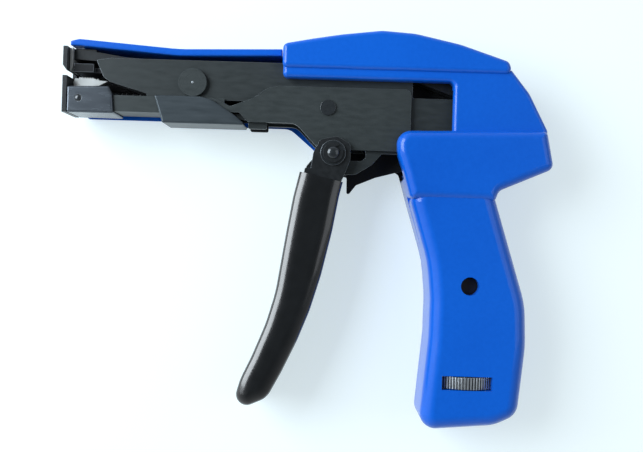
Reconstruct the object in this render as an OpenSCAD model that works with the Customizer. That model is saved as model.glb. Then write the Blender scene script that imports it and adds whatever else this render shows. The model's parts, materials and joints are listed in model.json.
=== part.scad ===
// Cable tie tensioning tool, lying on its right side as it does on a bench.
// X runs from the nose to the heel, Y from the grip to the hump, Z up through the thickness.
// The drawing datum is the trigger pin with the trigger released; the finished tool is
// moved so that its origin lies under the middle of its outline, on the surface it lies on.

/* [Overall] */
// Trigger pin to the front face of the nose plate
nose_reach = 90.4; // [89.5:0.1:92]
// Trigger pin to the crest of the hump
top_reach = 40.6; // [40:0.1:43]
// Trigger pin to the lowest point of the grip
grip_reach = 90.4; // [89:0.1:94]
// Thickness across the widest part, the heel block
body_thick = 24; // [23.8:0.1:25]

/* [Housing] */
// Wall thickness of both housing shells
shell_wall = 2; // [1.6:0.1:2.1]
// How far the hump's face lies below the heel block's face
hump_drop = 0.8; // [0.4:0.1:1.2]
// How far the rear flank's face lies below the heel block's face
flank_drop = 2.1; // [1.4:0.1:2.2]
// How far the grip's face lies below the heel block's face
grip_drop = 1; // [0.6:0.1:1.2]
// Trigger pin forward to the front end of the hump
hump_front = 17.5; // [16:0.1:19]
// Trigger pin to the rear corner of the hump
hump_rear = 58.4; // [57.5:0.1:60]
// Trigger pin up to the lower edge of the hump
lip_level = 24.5; // [24.2:0.1:25.2]
// Height of the rounded bead along the hump's lower edge
bead_high = 3; // [2.4:0.1:3.6]
// Trigger pin back to the rear end of the side window
window_rear = 39.2; // [38:0.1:41]
// Height of the barrel spine's front end above the trigger pin
spine_nose = 36; // [35.4:0.1:36.6]
// Height of the barrel spine's middle above the trigger pin
spine_mid = 33.6; // [33:0.1:34]
// Thickness of the barrel spine
spine_thick = 2.7; // [2.2:0.1:3]
// Height of the spine's near edge above the surface that the tool lies on
spine_deep = 18; // [17:0.1:19]
// Trigger pin up to the lower edge of the barrel's far wall
barrel_floor = 9.4; // [9:0.1:10]
// How much higher that edge runs under the nose
barrel_rise = 1.4; // [1:0.1:1.8]
// Length of the heel block
block_long = 51.2; // [50:0.1:53]
// Trigger pin back to the front end of the heel block
block_front = 21.2; // [20:0.1:22]
// Trigger pin up to the top of the heel block
block_top = 9.3; // [8.8:0.1:9.8]
// Height of the heel block at its rear
block_high = 23.7; // [22.5:0.1:25]
// Trigger pin back to the axis of the grip
grip_axis = 46.2; // [45.6:0.1:46.8]
// Breadth of the grip, front to back, at its middle
grip_wide = 32; // [31:0.1:34]
// Radius of the grip's long edges
grip_round = 4.6; // [3.5:0.1:5.2]
// Radius of the heel block's edges
block_round = 3; // [2:0.1:3.5]
// Radius of the round sight hole in the grip
sight_r = 3; // [2:0.1:3.6]

/* [Frame] */
// Thickness of a frame plate
frame_thick = 1.6; // [1.4:0.1:1.7]
// Trigger pin up to the top of the frame plates
frame_top = 29.8; // [29:0.1:30.4]
// How far the nose reaches in front of the frame plates
nose_overhang = 13.1; // [12.4:0.1:13.9]
// Trigger pin back to the rear end of the frame plates
frame_rear = 41.5; // [41:0.1:42.5]
// Height of the step in the frame plates at the window's rear
frame_step = 19.3; // [18.6:0.1:20]
// Thickness of the nose plate
nose_plate_thick = 1.4; // [1.2:0.1:1.6]
// Top of the nose plate above the trigger pin
nose_plate_top = 32.9; // [32:0.1:33.2]
// Level of the tie's path above the trigger pin
tie_level = 24; // [23.8:0.1:24.2]
// Height of the gap that the tie passes through
tie_gap = 1.6; // [1.2:0.1:1.8]
// Thickness of the barrel sheath's sheet
sheath_thick = 0.9; // [0.7:0.1:1]
// Trigger pin up to the underside of the barrel sheath
sheath_floor = 8.4; // [8.2:0.1:8.6]
// Trigger pin forward to the front end of the barrel sheath
sheath_front = 60; // [59.6:0.1:61]

/* [Carriage] */
// Travel of the carriage in one full squeeze
stroke = 8.8; // [7:0.1:9]
// Thickness of a side plate
side_thick = 1.6; // [1.4:0.1:1.7]
// Trigger pin back to the rear edge of the side plates
side_rear = 25.5; // [24:0.1:26]
// Trigger pin up to the top edge of the side plates
side_top = 21.9; // [21.2:0.1:22.4]
// Trigger pin up to the top edge of the draw channel
channel_top = 17.2; // [16.8:0.1:17.3]
// Thickness of the draw channel's sheet
channel_thick = 1.2; // [0.9:0.1:1.3]
// Underside of the nose block above the trigger pin
nose_block_floor = 11; // [10.8:0.1:11.2]
// Thickness of the nose block's floor
nose_block_base = 0.8; // [0.6:0.1:1]
// Thickness of the nose block's cheeks
nose_block_cheek = 1.2; // [1:0.1:1.4]
// Length of the nose block
nose_block_long = 15; // [14:0.1:15.4]
// Height of the nose block
nose_block_high = 8.4; // [8:0.1:8.6]
// Radius of the trigger pin
pin_r = 2; // [1.6:0.1:2.2]

/* [Trigger] */
// Thickness of the trigger lever's sheet
ear_thick = 1.6; // [1.4:0.1:1.7]
// Thickness of the grip coating on the trigger
coat_thick = 0.9; // [0.7:0.05:0.9]
// Thickness of the grip coating over the trigger's edges
coat_edge = 1.4; // [1.3:0.1:1.6]
// Trigger pin down to the tip of the trigger
trigger_reach = 84.8; // [82:0.1:86]
// Radius of the trigger's ears round the pin
ear_r = 5.8; // [5.4:0.1:6.2]
// Radius of the coated trigger's long edges
coat_round = 3.4; // [2.5:0.1:4]
// Height of the fulcrum above the trigger pin
fulcrum_high = 22; // [21.6:0.1:22.4]
// Radius of the fulcrum pin
fulcrum_r = 1.75; // [1.5:0.05:1.9]

/* [Levers] */
// Thickness of each plate of the trip and cutter levers
lever_thick = 2; // [1.8:0.1:2.1]
// Thickness of the trigger arm, in the middle of the stack
core_thick = 2.4; // [2.2:0.1:2.6]
// Trigger pin back to the trip lever's pivot
trip_x = 20; // [19.5:0.1:20.5]
// Trigger pin up to the trip lever's pivot
trip_y = 31; // [30.5:0.1:31.5]
// Radius of the trip lever's pivot pin
trip_pin_r = 2.5; // [2.2:0.1:2.8]
// Trigger pin forward to the cutter lever's pivot
cutter_x = 47.4; // [47:0.1:48]
// Trigger pin up to the cutter lever's pivot
cutter_y = 22.2; // [21.9:0.1:22.5]
// Radius of the cutter pivot's shank
cutter_pin_r = 2.5; // [2.2:0.1:2.8]
// Radius of the cutter pivot's large head
cutter_head_r = 4.75; // [4:0.05:5]
// Drop of the blade when the lever trips
blade_drop = 2.6; // [2.4:0.1:2.8]
// Thickness of the blade
blade_thick = 1; // [0.8:0.1:1]

/* [Tension adjuster] */
// Radius of the tension wheel over its knurls
wheel_r = 11.4; // [11.2:0.05:11.5]
// Thickness of the tension wheel
wheel_thick = 4; // [3.6:0.1:4.2]
// Bottom of the grip up to the middle of the tension wheel
wheel_rise = 15.9; // [15.4:0.1:16.9]
// Number of knurls round the tension wheel
wheel_knurls = 48; // [36:1:56]
// Length of the wheel's slot in the grip
slot_long = 16.6; // [15.5:0.1:17.5]
// Radius of the adjusting screw
screw_r = 3; // [2.6:0.1:3.2]
// Outer radius of the tension spring
spring_r = 5.4; // [5:0.1:5.5]
// Wire diameter of the tension spring
spring_wire = 1.7; // [1.4:0.1:1.8]
// Trigger pin down to the middle of the spring nut
nut_level = 43; // [42:0.1:44]
// Height of the spring nut
nut_high = 6; // [5:0.1:7]
// Trigger pin down to the top of the spring cap
cap_level = 3.9; // [3.7:0.1:4.2]

/* [Fasteners] */
// Shank radius of the housing screws
screw_shank_r = 1.5; // [1.3:0.1:1.6]
// Head radius of the housing screws
screw_head_r = 2.8; // [2.6:0.1:3]

/* [Hidden] */

$fn = 48;
overrun = 1;      // how far every cut runs past the face it opens
run_gap = 0.2;    // between plates that slide on each other
seat_gap = 0.05;  // round a shank in its hole
clear_gap = 0.3;  // between parts that must never touch
edge_steps = 3;   // rings round each rounded edge

least_round = 0.2; // the smallest corner that is still drawn round
arc_turn = 15;    // how far each facet of a rounded corner turns
coil_gap = 0.45;  // between the flat end turns of a coil

// Small sizes of the housing
nose_lead = 1.5; // from the spine's front end to the front plate's face
spine_front = nose_reach - nose_lead;
frame_front = nose_reach - nose_overhang; // trigger pin forward to the frame plates' tips
wheel_level = grip_reach - wheel_rise;    // trigger pin down to the middle of the tension wheel
spine_rear = 34.6;
far_round = 2;
spine_round = 0.6;
hump_round = 1.6;
lip_step = 0.2;
boss_r = 3.2;
rib_thick = 2;
screw_head_deep = 2.6;
screw_head_high = 1.8;
screw_slot = 0.8;
shell_screw_long = 19;
sight_rise = 0.4;
grip_lead = 12.7;

// Small sizes of the frame, the nose and the sheath
frame_round = 0.6;
trip_boss_r = 5;
mouth_slope = 1.8;
foot_gap = 1.2;
anvil_thick = 1.6;
anvil_flange = 1.2;
anvil_tongue = 2.6;
sheath_radius_shares = [0.6, 0.6, 4, 8, 6, 0.6];

// Small sizes of the carriage
guide_r = 2;
rivet_r = 1.5;
rivet_head = 0.7;
nose_gap = 0.2;
nose_pin_r = 1.1;
block_corner_shares = [0.5, 0.5, 1.2, 0.8, 0.5];
washer_thick = 0.8;
clip_thick = 0.7;
pin_stub = 0.8;
pawl_long = 10.4;
pawl_hub = 2.1;
pawl_leaf = 3;
tooth_deep = 0.5;
leaf_thick = 0.5;
return_r = 2.6;
return_wire = 0.6;
spring_axis_y = 16.2;
spring_stop_x = 53.4;

// Small sizes of the trigger and the levers
sleeve_top = 7.8;
sleeve_tilt = 9;
trip_tip_r = 1.5;
trip_front = 40;
cutter_boss_r = 3.8;
blade_gap = 0.15;
blade_half = 5;

// Small sizes of the adjuster
stem_r = 3.5;
cap_round = 2;
spring_top = 13;
nut_half = 7;
knurl_deep = 0.55;

// The stack of layers, each distance measured from the mid-plane of the tool
mid = body_thick / 2;
lever_in = core_thick / 2 + run_gap;
lever_out = lever_in + lever_thick;
frame_in = lever_out + run_gap;
frame_out = frame_in + frame_thick;
side_in = frame_out + run_gap;
side_out = side_in + side_thick;
ear_in = side_out + run_gap;
ear_out = ear_in + ear_thick;
coat_out = ear_out + coat_thick;
sheath_in = side_out + run_gap;
sheath_out = sheath_in + sheath_thick;
cheek_out = side_in + channel_thick + nose_block_cheek;

// Heights of the housing's faces above the surface the tool lies on
hump_face = body_thick - hump_drop;
flank_face = body_thick - flank_drop;
grip_face = body_thick - grip_drop;
near_floor = mid + frame_out + clear_gap;  // lowest level the near walls reach over the frame
side_clear = mid + side_out + clear_gap;   // lowest level they reach over the side plates

rear_reach = block_front + block_long;
centre_x = (nose_reach - rear_reach) / 2;
centre_y = (grip_reach - top_reach) / 2;

// Pivots, all measured from the trigger pin
trip_at = [trip_x, trip_y];
cutter_at = [-cutter_x, cutter_y];
arm_lean = stroke / 2;
fulcrum_at = [arm_lean, fulcrum_high];
nose_back = -nose_reach + nose_plate_thick;
pawl_pin_in = 4;    // from the front plate to the pawl's pin
pawl_pin_up = 4.8;  // from the nose block's floor to that pin
pawl_lead = 2.6;    // from the front plate to where the pawl's outline is measured from
pawl_at = [nose_back + pawl_pin_in, nose_block_floor + pawl_pin_up];
pawl_from = nose_back + pawl_lead;

// Moves a drawing made about the trigger pin to the tool's own origin
module on_tool() { translate([centre_x, centre_y, 0]) children(); }

// A list of shares spread over a size, from a corner
function spread(shares, from, size) =
    [for (s = shares) [from.x + s.x * size.x, from.y + s.y * size.y]];

function unit(v) = v / norm(v);
function left_of(v) = [-v.y, v.x];
function wrap(pts, i) = pts[(i + len(pts)) % len(pts)];
function way_in(pts, i) = unit(pts[i] - wrap(pts, i - 1));
function way_out(pts, i) = unit(wrap(pts, i + 1) - pts[i]);
function turn_at(pts, i) = cross(way_in(pts, i), way_out(pts, i));

// The outline drawn inside another, d in from every edge; outlines run anticlockwise
function inset(pts, d) = [
    for (i = [0:len(pts) - 1])
        pts[i] + d * (left_of(way_in(pts, i)) + left_of(way_out(pts, i)))
            / (1 + way_in(pts, i) * way_out(pts, i))
];
function inset_radii(pts, radii, d) = [
    for (i = [0:len(pts) - 1])
        max(turn_at(pts, i) > 0 ? radii[i] - d : radii[i] + d, least_round)
];

// An outline with each corner rounded to its radius
function rounded(pts, radii) = [
    for (i = [0:len(pts) - 1])
        let (
            u = way_in(pts, i), v = way_out(pts, i),
            sweep = acos(min(1, u * v)), steps = max(2, ceil(sweep / arc_turn)),
            side = turn_at(pts, i) > 0 ? 1 : -1, r = radii[i],
            middle = pts[i] - u * r * tan(sweep / 2) + side * r * left_of(u),
            first = atan2(u.y, u.x) - side * 90
        )
        for (k = [0:steps])
            middle + r * [cos(first + side * sweep * k / steps),
                sin(first + side * sweep * k / steps)]
];
function even(pts, r) = rounded(pts, [for (p = pts) r]);

// The rings of one rounded long edge: how far in, and how far from the face
function edge_rings(r) = r == 0 ? [[0, 0]] :
    [for (k = [0:edge_steps]) let (a = 90 * k / edge_steps) [r * (1 - sin(a)), r * (1 - cos(a))]];

// A cast or bent body: an outline with rounded long edges, at its low and its high face
module pillow(pts, radii, low, high, low_r, high_r) {
    lows = edge_rings(low_r);
    highs = edge_rings(high_r);
    rings = concat(
        [for (e = lows) [e[0], low + e[1]]],
        [for (k = [len(highs) - 1:-1:0]) [highs[k][0], high - highs[k][1]]]
    );
    skins = [for (ring = rings)
        [for (p = rounded(inset(pts, ring[0]), inset_radii(pts, radii, ring[0])))
            [p.x, p.y, ring[1]]]];
    n = len(skins[0]);
    last = len(skins) - 1;
    polyhedron(
        points = [for (skin = skins) for (p = skin) p],
        faces = concat(
            [[for (i = [0:n - 1]) i]],
            [for (s = [0:last - 1]) for (i = [0:n - 1]) let (j = (i + 1) % n)
                [s * n + i, (s + 1) * n + i, (s + 1) * n + j, s * n + j]],
            [[for (i = [n - 1:-1:0]) last * n + i]]
        )
    );
}

// A flat plate between two levels of the stack, measured from the mid-plane
module plate(pts, from, to) {
    translate([0, 0, mid + from]) linear_extrude(to - from) polygon(pts);
}
// A round pin or bore along Z between two levels of the stack
module pin(at, r, from, to) {
    translate([at.x, at.y, mid + from]) cylinder(r = r, h = to - from);
}
// A bore through everything at a place
module bore(at, r) { pin(at, r, -mid - overrun, mid + overrun); }
// A long slot for a pin of radius r that moves along X
module slide_slot(at, r, travel) {
    bore(at, r);
    bore([at.x + travel, at.y], r);
    translate([at.x, at.y - r, -overrun]) cube([travel, 2 * r, body_thick + 2 * overrun]);
}
// A round pin or bore along Y, on the axis of the grip
module upright(r, from, to) {
    translate([grip_axis, from, mid]) rotate([-90, 0, 0]) cylinder(r = r, h = to - from);
}

// A coil along Z: one unbroken wire, its two ends flat turns
module coil(r, wire, turns, high) {
    around = 8;
    sides = 6;
    count = turns * around;
    pitch_share = [for (k = [0:count]) min(1, max(0, (k - around) / (count - 2 * around)))];
    rings = [for (k = [0:count]) let (a = 360 * k / around)
        [for (s = [0:sides - 1]) let (b = 360 * s / sides, q = r - wire / 2 + wire / 2 * cos(b))
            [q * cos(a), q * sin(a), wire / 2 * (1 + sin(b))
                + (wire + coil_gap) * min(k, around) / around
                + (wire + coil_gap) * max(0, k - count + around) / around
                + (high - 3 * wire - 2 * coil_gap) * pitch_share[k]]]];
    polyhedron(
        points = [for (ring = rings) for (p = ring) p],
        faces = concat(
            [[for (s = [0:sides - 1]) s]],
            [for (k = [0:count - 1]) for (s = [0:sides - 1]) let (t = (s + 1) % sides)
                each [[k * sides + s, (k + 1) * sides + s, (k + 1) * sides + t],
                    [k * sides + s, (k + 1) * sides + t, k * sides + t]]],
            [[for (s = [sides - 1:-1:0]) count * sides + s]]
        )
    );
}

// Outline of the hump's raised pad, from its lower front corner
hump_shares = [[0, 0], [1, 0], [0.982, 0.313], [0.769, 0.71], [0.574, 0.947], [0.428, 1],
    [0.257, 0.878], [0.134, 0.756], [0, 0.603]];
hump_radius_shares = [0.13, 0.14, 0.19, 1.9, 1.5, 0.9, 2.3, 3, 0.15];
groove = lip_level + bead_high;
hump_high = top_reach - groove;
hump_pts = spread(hump_shares, [-hump_front, groove], [hump_front + hump_rear, hump_high]);
hump_radii = hump_radius_shares * hump_high;

// Outline of the heel block, from its lowest front corner
block_shares = [[0.092, 0], [0.637, 0], [0.66, 0.143], [1.008, 0.473], [0.959, 1],
    [-0.01, 0.941], [0, 0.633], [0.043, 0.371]];
block_radius_shares = [0.08, 0.06, 0.13, 0.11, 0.08, 0.19, 0.34, 0.8];
block_at = [block_front, block_top - block_high];
block_size = [block_long, block_high];
block_pts = spread(block_shares, block_at, block_size);
block_radii = block_radius_shares * block_high;

// Outline of the grip, from its lower front corner
grip_shares = [[-0.081, -0.006], [0.703, 0.021], [0.941, 0.064], [1.009, 0.336], [0.991, 0.502],
    [0.588, 0.988], [-0.14, 0.988], [-0.228, 0.897], [-0.034, 0.656], [0.003, 0.514], [0, 0.36]];
grip_radius_shares = [0.16, 0.38, 0.19, 1.25, 0.94, 0.06, 0.06, 0.12, 1.25, 1.25, 1.25];
grip_front = grip_axis - grip_lead;
grip_high = grip_reach - grip_lead / 2;
grip_pts = spread(grip_shares, [grip_front, -grip_reach], [grip_wide, grip_high]);
grip_radii = grip_radius_shares * grip_wide;

// Outline of the rear flank, drawn on over the window; its lip runs forward under the hump
flank_end = [block_at.x + block_size.x * 0.965, block_top];
flank_bend = [(hump_rear + flank_end.x) / 2 - lip_step, (groove + block_top) / 2 + bead_high];
flank_pts = [
    [-hump_front + lip_step, lip_step], [flank_end.x, lip_step], flank_end, flank_bend,
    [hump_rear - lip_step, groove + bead_high / 2], [-hump_front + lip_step, groove + bead_high / 2],
];
flank_radii = [lip_step, lip_step, bead_high, bead_high * 4, lip_step, lip_step];
// Outline of the open window in front of the flank and under the lip
window_pts = even([
    [-2 * hump_front, -ear_r], [window_rear, -ear_r],
    [window_rear, lip_level], [-2 * hump_front, lip_level],
], bead_high / 2);

// The line along the top of the barrel's spine, from the hump to the nose
spine_line = [
    [-hump_front, spine_rear], [-spine_front * 0.4, spine_mid + (spine_rear - spine_mid) * 0.4],
    [-spine_front * 0.59, spine_mid], [-spine_front * 0.78, spine_mid + (spine_nose - spine_mid) * 0.5],
    [-spine_front * 0.965, spine_nose], [-spine_front, spine_nose - spine_thick * 0.3],
];
spine_radius_shares = [0.1, 18, 18, 18, 0.8, 0.5];
// The lower edge of the barrel's far wall, from the nose to the heel block
wall_line = [
    [-spine_front, barrel_floor + barrel_rise * 2.4], [-spine_front * 0.965, barrel_floor + barrel_rise],
    [-spine_front * 0.6, barrel_floor + barrel_rise], [-spine_front * 0.52, barrel_floor],
    [-spine_front * 0.17, barrel_floor], [-ear_r * 1.1, ear_r * 0.35],
    [-ear_r * 0.7, -ear_r * 0.45], [ear_r, -ear_r * 0.8], [block_front + lip_step * 3, -ear_r * 0.8],
];
wall_radius_shares = [0.5, 0.5, 1, 1, 2, 1.6, 1.6, 0.8, 0.3];
// Outline of the whole right shell
right_pts = concat(
    wall_line, [block_pts[7], block_pts[0]], [for (i = [8:10]) grip_pts[i]], [for (i = [0:4]) grip_pts[i]],
    [for (i = [2:3]) block_pts[i]], [flank_end, flank_bend, [hump_rear - lip_step, groove + lip_step]],
    [for (i = [2:8]) hump_pts[i]], spine_line
);
right_radii = concat(
    wall_radius_shares * spine_thick, [block_round / 2, grip_round * 2], [for (i = [8:10]) grip_radii[i]],
    [for (i = [0:4]) grip_radii[i]], [for (i = [2:3]) block_radii[i]],
    [lip_step * 3, bead_high * 4, lip_step], [for (i = [2:8]) hump_radii[i]],
    spine_radius_shares * spine_thick
);
// What is cut from the barrel above its far wall
trough_pts = [
    [-spine_front - spine_thick, -ear_r - spine_thick], [block_front + block_round, -ear_r - spine_thick],
    [block_front + block_round, frame_top], [-hump_front + clear_gap, frame_top],
    [-hump_front + clear_gap, top_reach], [-spine_front - spine_thick, top_reach],
];
// The spine, which stands on the far wall over the mechanism
crest_pts = concat(
    [for (i = [5:-1:1]) spine_line[i] - [0, i == 5 ? spine_thick * 0.7 : spine_thick]],
    [spine_line[0] - [lip_step, spine_thick], spine_line[0] - [lip_step, 0]],
    [for (i = [1:5]) spine_line[i]]
);
crest_radius_shares = [0.2, 0.6, 18, 18, 18, 0.1, 0.1, 18, 18, 18, 0.8, 0.3];
crest_radii = crest_radius_shares * spine_thick;

// Outline of the two shells together, which the hollow inside follows
body_pts = concat(
    [for (i = [0:4]) grip_pts[i]], [for (i = [2:3]) block_pts[i]],
    [flank_end, hump_pts[1]], [for (i = [2:8]) hump_pts[i]],
    [[-hump_front, lip_level], [window_rear, lip_level], [window_rear, block_top - block_round]],
    [for (i = [5:7]) block_pts[i]], [for (i = [8:10]) grip_pts[i]]
);
hollow_pts = inset(body_pts, shell_wall);

// Screws that hold the two shells together
shell_screw_places = [
    [-hump_front * 0.45, top_reach * 0.835], [hump_rear * 0.9, lip_level + bead_high],
    [rear_reach - block_round * 2.6, block_top - block_high * 0.3],
    [grip_front + grip_wide * 0.14, -grip_reach * 0.927],
    [grip_front + grip_wide * 0.76, -grip_reach * 0.9],
];
// Screws that hold the far frame plate to the right shell
frame_screw_places = [
    [-frame_front * 0.9, frame_top - boss_r], [-frame_front * 0.34, frame_top - boss_r],
    [frame_rear * 0.87, lip_level + screw_shank_r],
];
// Screws that hold the sheath to the right shell
sheath_screw_places = [
    [-sheath_front * 0.9, channel_top - boss_r * 0.9], [-sheath_front * 0.73, channel_top - boss_r * 0.9],
];

// A boss that one of the shell's screws runs through
module boss(at, from, to) { pin(at, boss_r, from, to); }

// A rib across the grip's hollow, with the bore of something upright
module grip_rib(level, high, r, from, to) {
    difference() {
        intersection() {
            translate([0, level, mid + from]) cube([rear_reach, high, to - from]);
            plate(inset(body_pts, shell_wall / 2), -mid, mid);
        }
        upright(r, level - overrun, level + high + overrun);
    }
}
module grip_ribs(from, to) {
    grip_rib(-cap_level - rib_thick - cap_round, rib_thick, stem_r + seat_gap, from, to);
    grip_rib(-wheel_level + wheel_thick / 2 + rib_thick, rib_thick, screw_r + seat_gap, from, to);
    grip_rib(-wheel_level - wheel_thick / 2 - 2 * rib_thick, rib_thick, screw_r + seat_gap, from, to);
}
// What the adjusting wheel needs cut from the shells
module wheel_slot() {
    translate([grip_axis - slot_long / 2, -wheel_level - wheel_thick / 2 - clear_gap, -overrun])
        cube([slot_long, wheel_thick + 2 * clear_gap, body_thick + 2 * overrun]);
}

// Everything on one side of the plane where the shells part
module past_parting(low) {
    translate([-nose_reach, -grip_reach - overrun, low])
        cube([nose_reach + rear_reach + overrun, grip_reach + top_reach + 2 * overrun, mid]);
}

module right_housing() {
    color([0.07, 0.3, 0.75]) on_tool() difference() {
        union() {
            difference() {
                union() {
                    difference() {
                        pillow(right_pts, right_radii, 0, mid + overrun, far_round, 0);
                        plate(hollow_pts, shell_wall - mid, 2 * overrun);
                        plate(trough_pts, shell_wall - mid, 2 * overrun);
                        // The frame runs through under the lip and into the block
                        translate([-hump_front, -ear_r - shell_wall, shell_wall])
                            cube([hump_front + frame_rear + clear_gap,
                                ear_r + shell_wall + frame_top + clear_gap, mid]);
                    }
                    for (at = shell_screw_places) boss(at, shell_wall / 2 - mid, overrun / 2);
                    for (i = [0:2])
                        boss(frame_screw_places[i], shell_wall / 2 - mid,
                            -frame_out - (i == 0 ? nose_plate_thick : 0));
                    for (at = sheath_screw_places) boss(at, shell_wall / 2 - mid, -sheath_out);
                    grip_ribs(shell_wall / 2 - mid, overrun / 3);
                }
                past_parting(mid);
            }
            pillow(inset(crest_pts, lip_step), inset_radii(crest_pts, crest_radii, lip_step),
                shell_wall * 0.7,
                spine_deep, 0, spine_round);
        }
        for (at = concat(shell_screw_places, frame_screw_places, sheath_screw_places)) {
            bore(at, screw_shank_r + seat_gap);
            pin(at, screw_head_r + seat_gap, -mid - overrun, screw_head_deep - mid);
        }
        wheel_slot();
    }
}

module left_housing() {
    color([0.08, 0.4, 0.88]) on_tool() difference() {
        union() {
            difference() {
                union() {
                    pillow(hump_pts, hump_radii, mid - overrun, hump_face, 0, hump_round);
                    difference() {
                        pillow(flank_pts, flank_radii, mid - 2 * overrun, flank_face, 0, bead_high / 2);
                        plate(window_pts, -3 * overrun, mid + overrun);
                    }
                    pillow(block_pts, block_radii, mid - 3 * overrun, body_thick, 0, block_round);
                    pillow(grip_pts, grip_radii, mid - 4 * overrun, grip_face, 0, grip_round);
                }
                plate(hollow_pts, -5 * overrun, flank_face - shell_wall - mid);
                // The frame and the side plates run through under the lip and into the block
                translate([-hump_front - overrun, -ear_r - shell_wall, mid / 2])
                    cube([hump_front + frame_rear + clear_gap + overrun,
                        ear_r + shell_wall + frame_top + clear_gap, near_floor - mid / 2]);
                translate([0, 0, mid / 2])
                    cube([frame_rear + clear_gap, side_top + clear_gap, side_clear - mid / 2]);
            }
            for (at = shell_screw_places) boss(at, -overrun / 2, flank_face - shell_wall / 2 - mid);
            grip_ribs(-overrun / 3, flank_face - shell_wall / 2 - mid);
        }
        for (at = shell_screw_places)
            pin(at, screw_shank_r, -overrun, shell_screw_long - mid);
        bore([grip_axis, -nut_level + sight_rise], sight_r);
        wheel_slot();
        past_parting(0);
    }
}

// A screw from the right side: its head in a recess, its end at a level of the stack
module side_screw(at, to) {
    difference() {
        union() {
            pin(at, screw_head_r, screw_head_deep - screw_head_high - mid, screw_head_deep - mid);
            pin(at, screw_shank_r, screw_head_deep - mid, to);
        }
        translate([at.x - screw_head_r, at.y - screw_slot / 2, screw_head_deep - screw_head_high - overrun])
            cube([2 * screw_head_r, screw_slot, screw_head_high / 2 + overrun]);
    }
}
module shell_screws() {
    color([0.55, 0.56, 0.58]) on_tool() for (at = shell_screw_places)
        side_screw(at, shell_screw_long - mid);
}
module frame_screws() {
    color([0.3, 0.31, 0.33]) on_tool() for (at = frame_screw_places) side_screw(at, -frame_in);
}
module sheath_screws() {
    color([0.3, 0.31, 0.33]) on_tool() for (at = sheath_screw_places) side_screw(at, -sheath_in);
}

// Outline of a frame plate, anticlockwise from the front end of its lower edge
frame_foot = sheath_floor + sheath_thick + foot_gap;
frame_waist = nose_block_floor + nose_block_base + channel_thick + clear_gap;
guide_front = [-sheath_front * 0.665, nose_block_floor + channel_thick * 2.9];
guide_rear = [-pin_r * 1.05, fulcrum_high * 0.686];
lobe_r = pin_r * 2.35;
channel_rear = -sheath_front * 0.97;
function frame_outline(arch) = concat(
    [[-frame_front * 0.97, frame_waist + channel_top * 0.49],
    [-frame_front * 0.815, frame_waist + channel_top * 0.29],
        [-frame_front * 0.79, frame_waist], [channel_rear + stroke + clear_gap * 2, frame_waist],
        [channel_rear + stroke + clear_gap * 4, frame_foot],
        [-frame_front * 0.37, frame_foot], [-frame_front * 0.37, sheath_floor - sheath_thick],
        [-frame_front * 0.29, sheath_floor - sheath_thick], [-frame_front * 0.29, frame_foot],
        [-lobe_r * 2.4, frame_foot], [-lobe_r, pin_r], [-lobe_r, -pin_r]],
    arch ? [[-pin_r * 0.4, -lobe_r * 1.35], [pin_r * 2.55, -lobe_r * 1.55], [pin_r * 2.6, -lobe_r * 3],
            [pin_r * 4.2, -lobe_r * 2.1], [pin_r * 7.5, -lobe_r * 1.5],
            [block_front + pin_r * 1.2, -lobe_r],
            [frame_rear - frame_thick, -lobe_r * 0.6]]
        : [[pin_r * 0.6, -lobe_r * 1.55], [pin_r * 4, -lobe_r * 1.4], [stroke * 1.5, -lobe_r * 0.7],
            [stroke * 1.85, pin_r * 0.2], [frame_rear - frame_thick, pin_r * 0.2]],
    [[frame_rear, frame_step]],
    arch ? [[frame_rear - frame_thick, frame_step], [frame_rear - frame_thick, frame_top]]
        : [[trip_at.x + trip_boss_r * 1.2, frame_step]],
    [[trip_at.x + trip_boss_r * 1.2, trip_at.y + trip_boss_r * 0.8],
        [trip_at.x - trip_boss_r * 1.2, trip_at.y + trip_boss_r * 0.8],
        [trip_at.x - trip_boss_r * 2.2, frame_top],
        [-frame_front * 0.97, frame_top], [-frame_front * 1.035, frame_top - frame_thick / 2],
        [-frame_front, tie_level - tie_gap / 2]]
);
module frame_bores() {
    slide_slot([0, 0], pin_r + run_gap, stroke);
    slide_slot(guide_front, guide_r + run_gap, stroke);
    slide_slot(guide_rear, guide_r + run_gap, stroke);
    bore(trip_at, trip_pin_r + seat_gap);
    bore(cutter_at, cutter_pin_r + seat_gap);
}
module right_frame_plate() {
    color([0.16, 0.17, 0.19]) on_tool() difference() {
        plate(even(frame_outline(true), frame_round), -frame_out, -frame_in);
        frame_bores();
        for (at = frame_screw_places) bore(at, screw_shank_r + seat_gap);
    }
    // The stop that the return spring pushes against
    color([0.16, 0.17, 0.19]) on_tool()
        translate([-spring_stop_x, spring_axis_y - return_r, mid - frame_in])
            cube([frame_thick, 2 * return_r, 2 * frame_in]);
}
module left_frame_plate() {
    color([0.2, 0.22, 0.24]) on_tool() difference() {
        plate(even(frame_outline(false), frame_round), frame_in, frame_out);
        frame_bores();
    }
}
module cutter_stud() {
    color([0.25, 0.27, 0.29]) on_tool() {
        pin(cutter_at, cutter_pin_r, -frame_out, frame_out);
        pin(cutter_at, cutter_head_r * 0.76, -frame_out - frame_thick * 0.75, -frame_out);
        difference() {
            pin(cutter_at, cutter_head_r, frame_out, frame_out + frame_thick);
            difference() {
                pin(cutter_at, cutter_head_r * 0.88, frame_out + frame_thick * 0.8,
                    frame_out + 2 * frame_thick);
                pin(cutter_at, cutter_head_r * 0.76, frame_out, frame_out + 2 * frame_thick);
            }
        }
    }
}
module trip_pin() {
    color([0.5, 0.52, 0.54]) on_tool() {
        pin(trip_at, trip_pin_r, -frame_out, frame_out);
        pin(trip_at, trip_pin_r * 1.4, -frame_out - frame_thick / 2, -frame_out);
        pin(trip_at, trip_pin_r * 1.4, frame_out, frame_out + frame_thick / 2);
    }
}

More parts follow.
